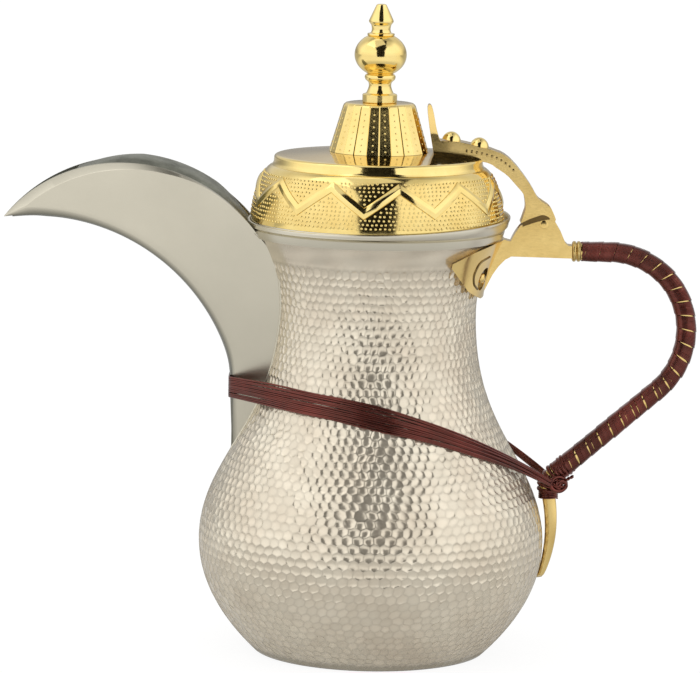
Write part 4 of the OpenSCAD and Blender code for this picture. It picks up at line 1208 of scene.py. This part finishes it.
class DALLAH_OT_finial(bpy.types.Operator):
    """Turned finial with collars, a ball and a bud"""
    bl_idname = "dallah.finial"
    bl_label = "Finial"

    def execute(self, context):
        d = sizes(context, "lid")
        a = np.radians(np.linspace(-60.8, 60.8, 21))
        ball = np.stack([12 * np.cos(a), 22 + 9.97 * np.sin(a)], -1)
        neck = rounded([(6.3, 4.4), (5.5, 6.2), (5.15, 7.8), (5.4, 9.2), (6.7, 10.5)], 4)
        bead = rounded([(7, 11.1), (7.1, 11.9), (6.7, 12.8), (5.9, 13.2)], 3)
        collar = [(6.1, 30.8), (6.3, 31.1), (6.2, 31.7), (4.7, 32.1)]
        throat = rounded([(4.4, 32.8), (4.3, 33.8), (4.55, 35.4), (5.2, 36.4)], 4)
        bud = [(5.6, 36.9), (5.72, 37.3), (5.5, 38), (2.5, 44.4), (2.2, 44.9), (1.6, 45.15)]
        parts = [[(0, 0), (7.7, 0), (8, 0.3), (8, 3.6), (7.7, 3.95)], neck, bead, ball, collar, throat, bud,
                 [(0, 45.2)]]
        profile = np.concatenate(parts) + [0, d.finial_z]
        gilt = finish(context, "gilt brass")
        piece("turned_finial", turned(profile, 96, loop=False), gilt, "lid", "finial", 35, merge=0.001)
        return {"FINISHED"}


def slim_arm(work):
    """Narrows the arm's leaf towards its top and draws the arm in to a slim waist."""
    cuts = [((0, 0, z), (0, 0, 1)) for z in (241, 244, 247, 250, 252.5)]
    cuts += [((x, 0, 0), (1, 0, 0)) for x in (31, 34, 38, 42, 44.5, 49, 51.5, 54)]
    for at, way in cuts:
        bmesh.ops.bisect_plane(work, geom=work.verts[:] + work.edges[:] + work.faces[:],
                               plane_co=Vector(at) * MM, plane_no=way)
    hollow_x = [54, 57.5, 61.7, 65.8, 67.9]
    hollow_out, hollow_up = [0, 0.7, 1.45, 1.3, 0], [0, 0.8, 1.2, 1, 0]
    back_x = [29, 36, 41, 46, 51, 54, 57, 60, 63, 66, 69, 72]
    back_up = [0.6, 1.5, 1.3, 0.5, -0.2, -0.6, 0, 0.6, 0.9, 0.9, 0.6, 0]
    leaf_foot, leaf_high, leaf_x = 240, 14.35, 24.5
    for v in work.verts:
        x, z = v.co.x / MM, v.co.z / MM
        inside = z < 231 - 1.06 * (x - 54)
        if inside and x > 53 and z > 206:
            v.co.x += MM * np.interp(x, hollow_x, hollow_out)
            v.co.z += MM * np.interp(x, hollow_x, hollow_up)
        elif 28 < x <= 54 and z > 234 or 54 < x < 73 and not inside:
            v.co.z += MM * np.interp(x, back_x, back_up)
        v.co.y *= 1 - 0.5 * np.clip((z - leaf_foot) / leaf_high, 0, 1) ** 1.6
        v.co.y += 0.45 * np.clip((z - leaf_foot + 1) / 4, 0, 1) * (v.co.x - leaf_x * MM)


def domed(r, high, base, foot, steps, sides):
    """A round head of radius r that stands high above base, with its shank down to foot."""
    a = np.linspace(0, math.pi / 2, steps)
    crown = np.stack([r * np.cos(a), high * np.sin(a) + base], -1)
    return turned(np.concatenate([[(0, foot), (r, foot)], crown]), sides, loop=False)


class DALLAH_OT_hinge(bpy.types.Operator):
    """Castings of the hinge, their rivets, the ends of the pin, painted shade and shadows on the bracket, and
    punch marks
    """
    bl_idname = "dallah.hinge"
    bl_label = "Hinge castings"

    def execute(self, context):
        b = sizes(context, "body")
        edge = sizes(context, "handle").casting_edge
        brass = finish(context, "cast yellow brass")
        cad = {name: node.data for name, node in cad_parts.items()}
        casting = softened("hinge_casting", "hinge_bracket", edge, brass, "pot")
        softened("arm_casting", "lid_arm", edge, brass, "lid", slim_arm)
        # The arm's two rivets have high round heads
        old = cad["arm_rivets"]
        heads = vertices(old)
        first = heads[:, 0] < 39
        for here, foot, shift in ((first, 236.5, (-0.4, 0, 0.9)), (~first, 235.5, (1.4, 0, 0))):
            crown = here & (heads[:, 2] > foot - 1)
            centre = np.array([heads[here, 0].mean(), 0, foot])
            heads[crown] = centre + (heads[crown] - centre) * [1.12, 1.12, 1.25] + shift
        rivets = heads, [tuple(f.vertices) for f in old.polygons]
        piece("arm_domes", rivets, finish(context, "gilt brass"), "lid", "arm_rivets", 35, merge=0.001)
        # Round rivet heads, each in a disc of painted shade on the bracket that stands for a scoop round it
        ends = vertices(cad["bracket_rivets"])
        skin = vertices(casting.data)
        held = np.zeros(len(skin))
        domes = []
        scoop_shade_r = 5.47
        for side in (-1, 1):
            own = ends[ends[:, 1] * side > 0]
            spot = (own.min(0) + own.max(0)) / 2
            lean = math.atan(float(body_r(b, spot[2] + 1) - body_r(b, spot[2] - 1)) / 2)
            flat = spot[:2] / np.linalg.norm(spot[:2])
            out = np.array([*(flat * math.cos(lean)), -math.sin(lean)])
            across = np.array([-flat[1], flat[0], 0])
            tip = ((own - spot) @ out).max() + 0.1
            points, faces = domed(2.4, 1.9, -1.9, -2.2, 8, 32)
            domes.append((spot + points @ np.array([across, np.cross(out, across), out]) + tip * out, faces))
            away = skin - spot
            held[np.linalg.norm(away - (away @ out)[:, None] * out, axis=1) < scoop_shade_r] = 1
        marked(casting, held)
        piece("bracket_domes", together(*domes), brass, "pot", "bracket_rivets", 50, merge=0.001)
        # A dark raised line bounds each disc on the side of the neck: painted shadow of the step at the
        # scoop's edge
        faces = [tuple(f.vertices) for f in casting.data.polygons]
        reach = bvhtree.BVHTree.FromPolygons(skin.tolist(), faces)
        line = rounded([(51.6, 187), (47.2, 185), (44.6, 179.7), (44.6, 175), (46.3, 172)], 5)
        hits = [reach.ray_cast(Vector((x, -100, z)), Vector((0, 1, 0)))[0] for x, z in line]
        found = np.array([tuple(hit) for hit in hits if hit])
        marked(wires("saddle_shadow_lines", [found, found * [1, -1, 1]], 0.55, 8, brass), 0.9)
        # Ends of the pin stand a little proud, under a thin dark sheet on the bracket: painted shadow of the
        # arm's arch
        axle = [76.8, 0, 200.3]
        half = vertices(cad["hinge_pin"])[:, 1].max()
        points, faces = domed(2, 0.22, 0, -0.5, 6, 28)
        out = points[:, [0, 2, 1]] + [0, half, 0]
        ends = [(axle + out * [1, side, side], faces) for side in (1, -1)]
        piece("pin_ends", together(*ends), brass, "pot", soft=50, merge=0.001)
        under = rounded([(66.9, 199.2), (69.8, 200.3), (73, 201.4), (76.3, 202.3), (79.3, 202.8)])
        above = rounded([(66.3, 202.3), (69.4, 205.2), (72.9, 206.5), (76.3, 206.5), (79.6, 205.2)])
        outside, inside = ([np.stack(pair) for pair in zip(on_sides(under, y), on_sides(above, y))]
                           for y in (half + 0.06, half - 0.3))
        films = [slab(outside[1], inside[1]), slab(inside[0], outside[0])]
        marked(piece("arch_painted_shadow", together(*films), brass, "pot", soft=50), 1)
        # Punch marks along the arm's upper edge: low studs, darkened by the film as painted shade of punched
        # dents
        line = rounded([(40.4, 233.9), (45.2, 233.3), (50.1, 232.1), (55, 230.5), (59.9, 227.3), (62, 225.4)])
        wide = vertices(cad["lid_arm"])[:, 1].max()
        spots = np.concatenate(on_sides(spaced(line, np.linspace(0, 1, 11)), wide))
        facing = np.sign(spots) * [0, 1, 0]
        marked(studs("arm_punches", spots, facing, 0.75, 0.2, brass), 0.55)
        return {"FINISHED"}


class DALLAH_OT_fittings(bpy.types.Operator):
    """Finishes of the pieces whose shape is as it was drawn: pin, stud, washer, nut and collar"""
    bl_idname = "dallah.fittings"
    bl_label = "Fittings"

    def execute(self, context):
        worn = {"lid_collar": "gilt brass"}
        for node in ("hinge_pin", "finial_stud", "stud_washer", "stud_nut", "lid_collar"):
            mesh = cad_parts[node].data
            mesh.materials.clear()
            mesh.materials.append(finish(context, worn.get(node, "cast yellow brass")))
        return {"FINISHED"}


def unseen(item, **seen):
    """Takes a stage object out of every kind of ray but those named."""
    for ray in ("camera", "diffuse", "glossy", "transmission", "volume_scatter", "shadow"):
        setattr(item, "visible_" + ray, seen.get(ray, False))


def sheet(name, corners, material):
    """A flat stage sheet from corners in metres."""
    mesh = bpy.data.meshes.new(name)
    mesh.from_pydata(corners, [], [tuple(range(len(corners)))])
    mesh.materials.append(material)
    item = placed(name, mesh)
    return item


def paper():
    """White paper that takes a shadow, bright to the camera and, in mirrors, dim near and behind the pot."""
    material, tree = blank("white paper sweep")
    path = add(tree, "ShaderNodeLightPath").outputs
    share = maths(tree, "MAXIMUM", maths(tree, "MULTIPLY", path["Is Glossy Ray"], 0.75),
                  maths(tree, "MULTIPLY", path["Is Camera Ray"], 0.86))
    matt = add(tree, "ShaderNodeBsdfDiffuse", {"Color": (*linear("#E8E7E4"), 1)})
    spot = add(tree, "ShaderNodeTexCoord").outputs["Object"]
    away = add(tree, "ShaderNodeVectorMath", {0: spot}, operation="LENGTH").outputs["Value"]
    deep = add(tree, "ShaderNodeSeparateXYZ", {0: spot}).outputs["Y"]
    # Painted shade: in mirrors the floor's glow is dimmer near the pot, standing in for the pot's shadow on
    # the floor, and fades away behind it
    lit = maths(tree, "MULTIPLY", eased(tree, away, 0.22, 0.6, 0.58, 1.12),
                eased(tree, deep, -0.05, 0.8, 1.0, 0.36))
    level = maths(tree, "MAXIMUM", lit, maths(tree, "MULTIPLY", path["Is Camera Ray"], 1.06))
    glow = add(tree, "ShaderNodeEmission", {"Color": (1, 1, 1, 1), "Strength": level})
    mixed = add(tree, "ShaderNodeMixShader", {0: share, 1: matt, 2: glow})
    add(tree, "ShaderNodeOutputMaterial", {"Surface": mixed})
    return material


def white_tent():
    """Surroundings that are white all round for light, and in mirrors dimmer behind the pot and overhead."""
    world = bpy.data.worlds.new("white tent")
    world.use_nodes = True
    tree = world.node_tree
    tree.nodes.clear()
    toward = add(tree, "ShaderNodeTexCoord").outputs["Generated"]
    level = add(tree, "ShaderNodeVectorMath", {0: toward, 1: (1, 1, 0)}, operation="MULTIPLY")
    level = add(tree, "ShaderNodeVectorMath", {0: level}, operation="NORMALIZE")
    deep = add(tree, "ShaderNodeSeparateXYZ", {0: level}).outputs["Y"]
    high = add(tree, "ShaderNodeSeparateXYZ", {0: toward}).outputs["Z"]
    rear = eased(tree, high, 0.06, 0.3, 0.34, 0.6)
    behind = eased(tree, deep, 0.12, 0.75, 1.0, rear)
    over = eased(tree, high, 0.7, 0.92, 1.0, 0.55)
    lamps = eased(tree, high, -0.05, 0.35, 1.08, 1.25)
    dim = maths(tree, "MULTIPLY", maths(tree, "MULTIPLY", behind, over), lamps)
    mirror = add(tree, "ShaderNodeBackground", {"Color": (1, 1, 1, 1), "Strength": dim})
    light = add(tree, "ShaderNodeBackground", {"Color": (1, 1, 1, 1), "Strength": 1.0})
    glossy = add(tree, "ShaderNodeLightPath").outputs["Is Glossy Ray"]
    sky = add(tree, "ShaderNodeMixShader", {0: glossy, 1: light, 2: mirror})
    add(tree, "ShaderNodeOutputWorld", {"Surface": sky})
    return world


class DALLAH_OT_stage(bpy.types.Operator):
    """Camera, pale floor, white surroundings, a soft lamp, and dark cards in front and overhead"""
    bl_idname = "dallah.stage"
    bl_label = "Stage"

    def execute(self, context):
        scene = context.scene
        scene.view_settings.view_transform = "Standard"
        pitch, roll = math.radians(8.18), math.radians(1.15)
        forward = np.array([0, math.cos(pitch), -math.sin(pitch)])
        lift = np.array([0, math.sin(pitch), math.cos(pitch)])
        aside = np.array([1.0, 0, 0])
        right = math.cos(roll) * aside + math.sin(roll) * lift
        above = math.cos(roll) * lift - math.sin(roll) * aside
        lens = bpy.data.cameras.new("camera")
        lens.sensor_fit = "HORIZONTAL"
        lens.sensor_width = 36
        lens.lens = 218.88
        lens.clip_end = 100
        camera = placed("camera", lens)
        place = np.array([-11.46, -1949.45, 426.24]) * MM
        camera.matrix_world = Matrix(np.vstack([np.stack([right, above, -forward, place], 1), [0, 0, 0, 1]]))
        scene.camera = camera
        scene.world = white_tent()
        wide, low = 24, -0.0002
        corners = [(-wide, -wide), (wide, -wide), (wide, wide), (-wide, wide)]
        sheet("floor", [(x, y, low) for x, y in corners], paper())
        dark, tree = blank("black card")
        matt = add(tree, "ShaderNodeBsdfDiffuse", {"Color": (0.012, 0.011, 0.010, 1)})
        add(tree, "ShaderNodeOutputMaterial", {"Surface": matt})
        front, top = -1.2, 2.3
        outline = [(-0.33, 0.13), (0.33, 0.13), (0.41, 0.6), (0.41, 1.0), (1.0, top), (-1.0, top),
                   (-0.41, 1.0), (-0.41, 0.6)]
        roof = [(-0.8, front), (0.8, front), (0.6, 0.3), (-0.6, 0.3)]
        unseen(sheet("card", [(x, front, z) for x, z in outline], dark), glossy=True)
        unseen(sheet("roof card", [(x, y, top) for x, y in roof], dark), glossy=True)
        lamp = bpy.data.lights.new("soft lamp", "AREA")
        lamp.size = 1.4
        lamp.energy = 5
        item = placed("soft lamp", lamp)
        item.location = (-0.4, -0.2, 1.8)
        item.rotation_euler = (-item.location).to_track_quat("-Z", "Y").to_euler()
        return {"FINISHED"}


STEPS = (DALLAH_OT_stage, DALLAH_OT_body, DALLAH_OT_rim, DALLAH_OT_spout, DALLAH_OT_hinge, DALLAH_OT_handle,
         DALLAH_OT_grip, DALLAH_OT_tie, DALLAH_OT_skirt, DALLAH_OT_cap, DALLAH_OT_tower, DALLAH_OT_finial,
         DALLAH_OT_fittings)
GROUPS = {"body": BodySizes, "spout": SpoutSizes, "lid": LidSizes, "handle": HandleSizes,
          "tones": FinishTones}


class DALLAH_PT_panel(bpy.types.Panel):
    """Steps and sizes of the coffee pot"""
    bl_idname = "DALLAH_PT_panel"
    bl_label = "Dallah coffee pot"
    bl_space_type = "VIEW_3D"
    bl_region_type = "UI"
    bl_category = "Dallah"

    def draw(self, context):
        for step in STEPS:
            self.layout.operator(step.bl_idname)
        for name in GROUPS:
            group = getattr(context.scene, "dallah_" + name)
            box = self.layout.box()
            for key in group.bl_rna.properties.keys():
                if key not in ("rna_type", "name"):
                    box.prop(group, key)


CLASSES = (*GROUPS.values(), *STEPS, DALLAH_PT_panel)


def register():
    """Adds the classes and the scene's groups of sizes."""
    for kind in CLASSES:
        bpy.utils.register_class(kind)
    for name, kind in GROUPS.items():
        setattr(bpy.types.Scene, "dallah_" + name, bpy.props.PointerProperty(type=kind))


def unregister():
    """Takes them away again."""
    for name in GROUPS:
        delattr(bpy.types.Scene, "dallah_" + name)
    for kind in reversed(CLASSES):
        bpy.utils.unregister_class(kind)


def main():
    """Makes the stage and every piece."""
    register()
    for step in STEPS:
        area, call = step.bl_idname.split(".")
        getattr(getattr(bpy.ops, area), call)()


if __name__ == "__main__":
    main()
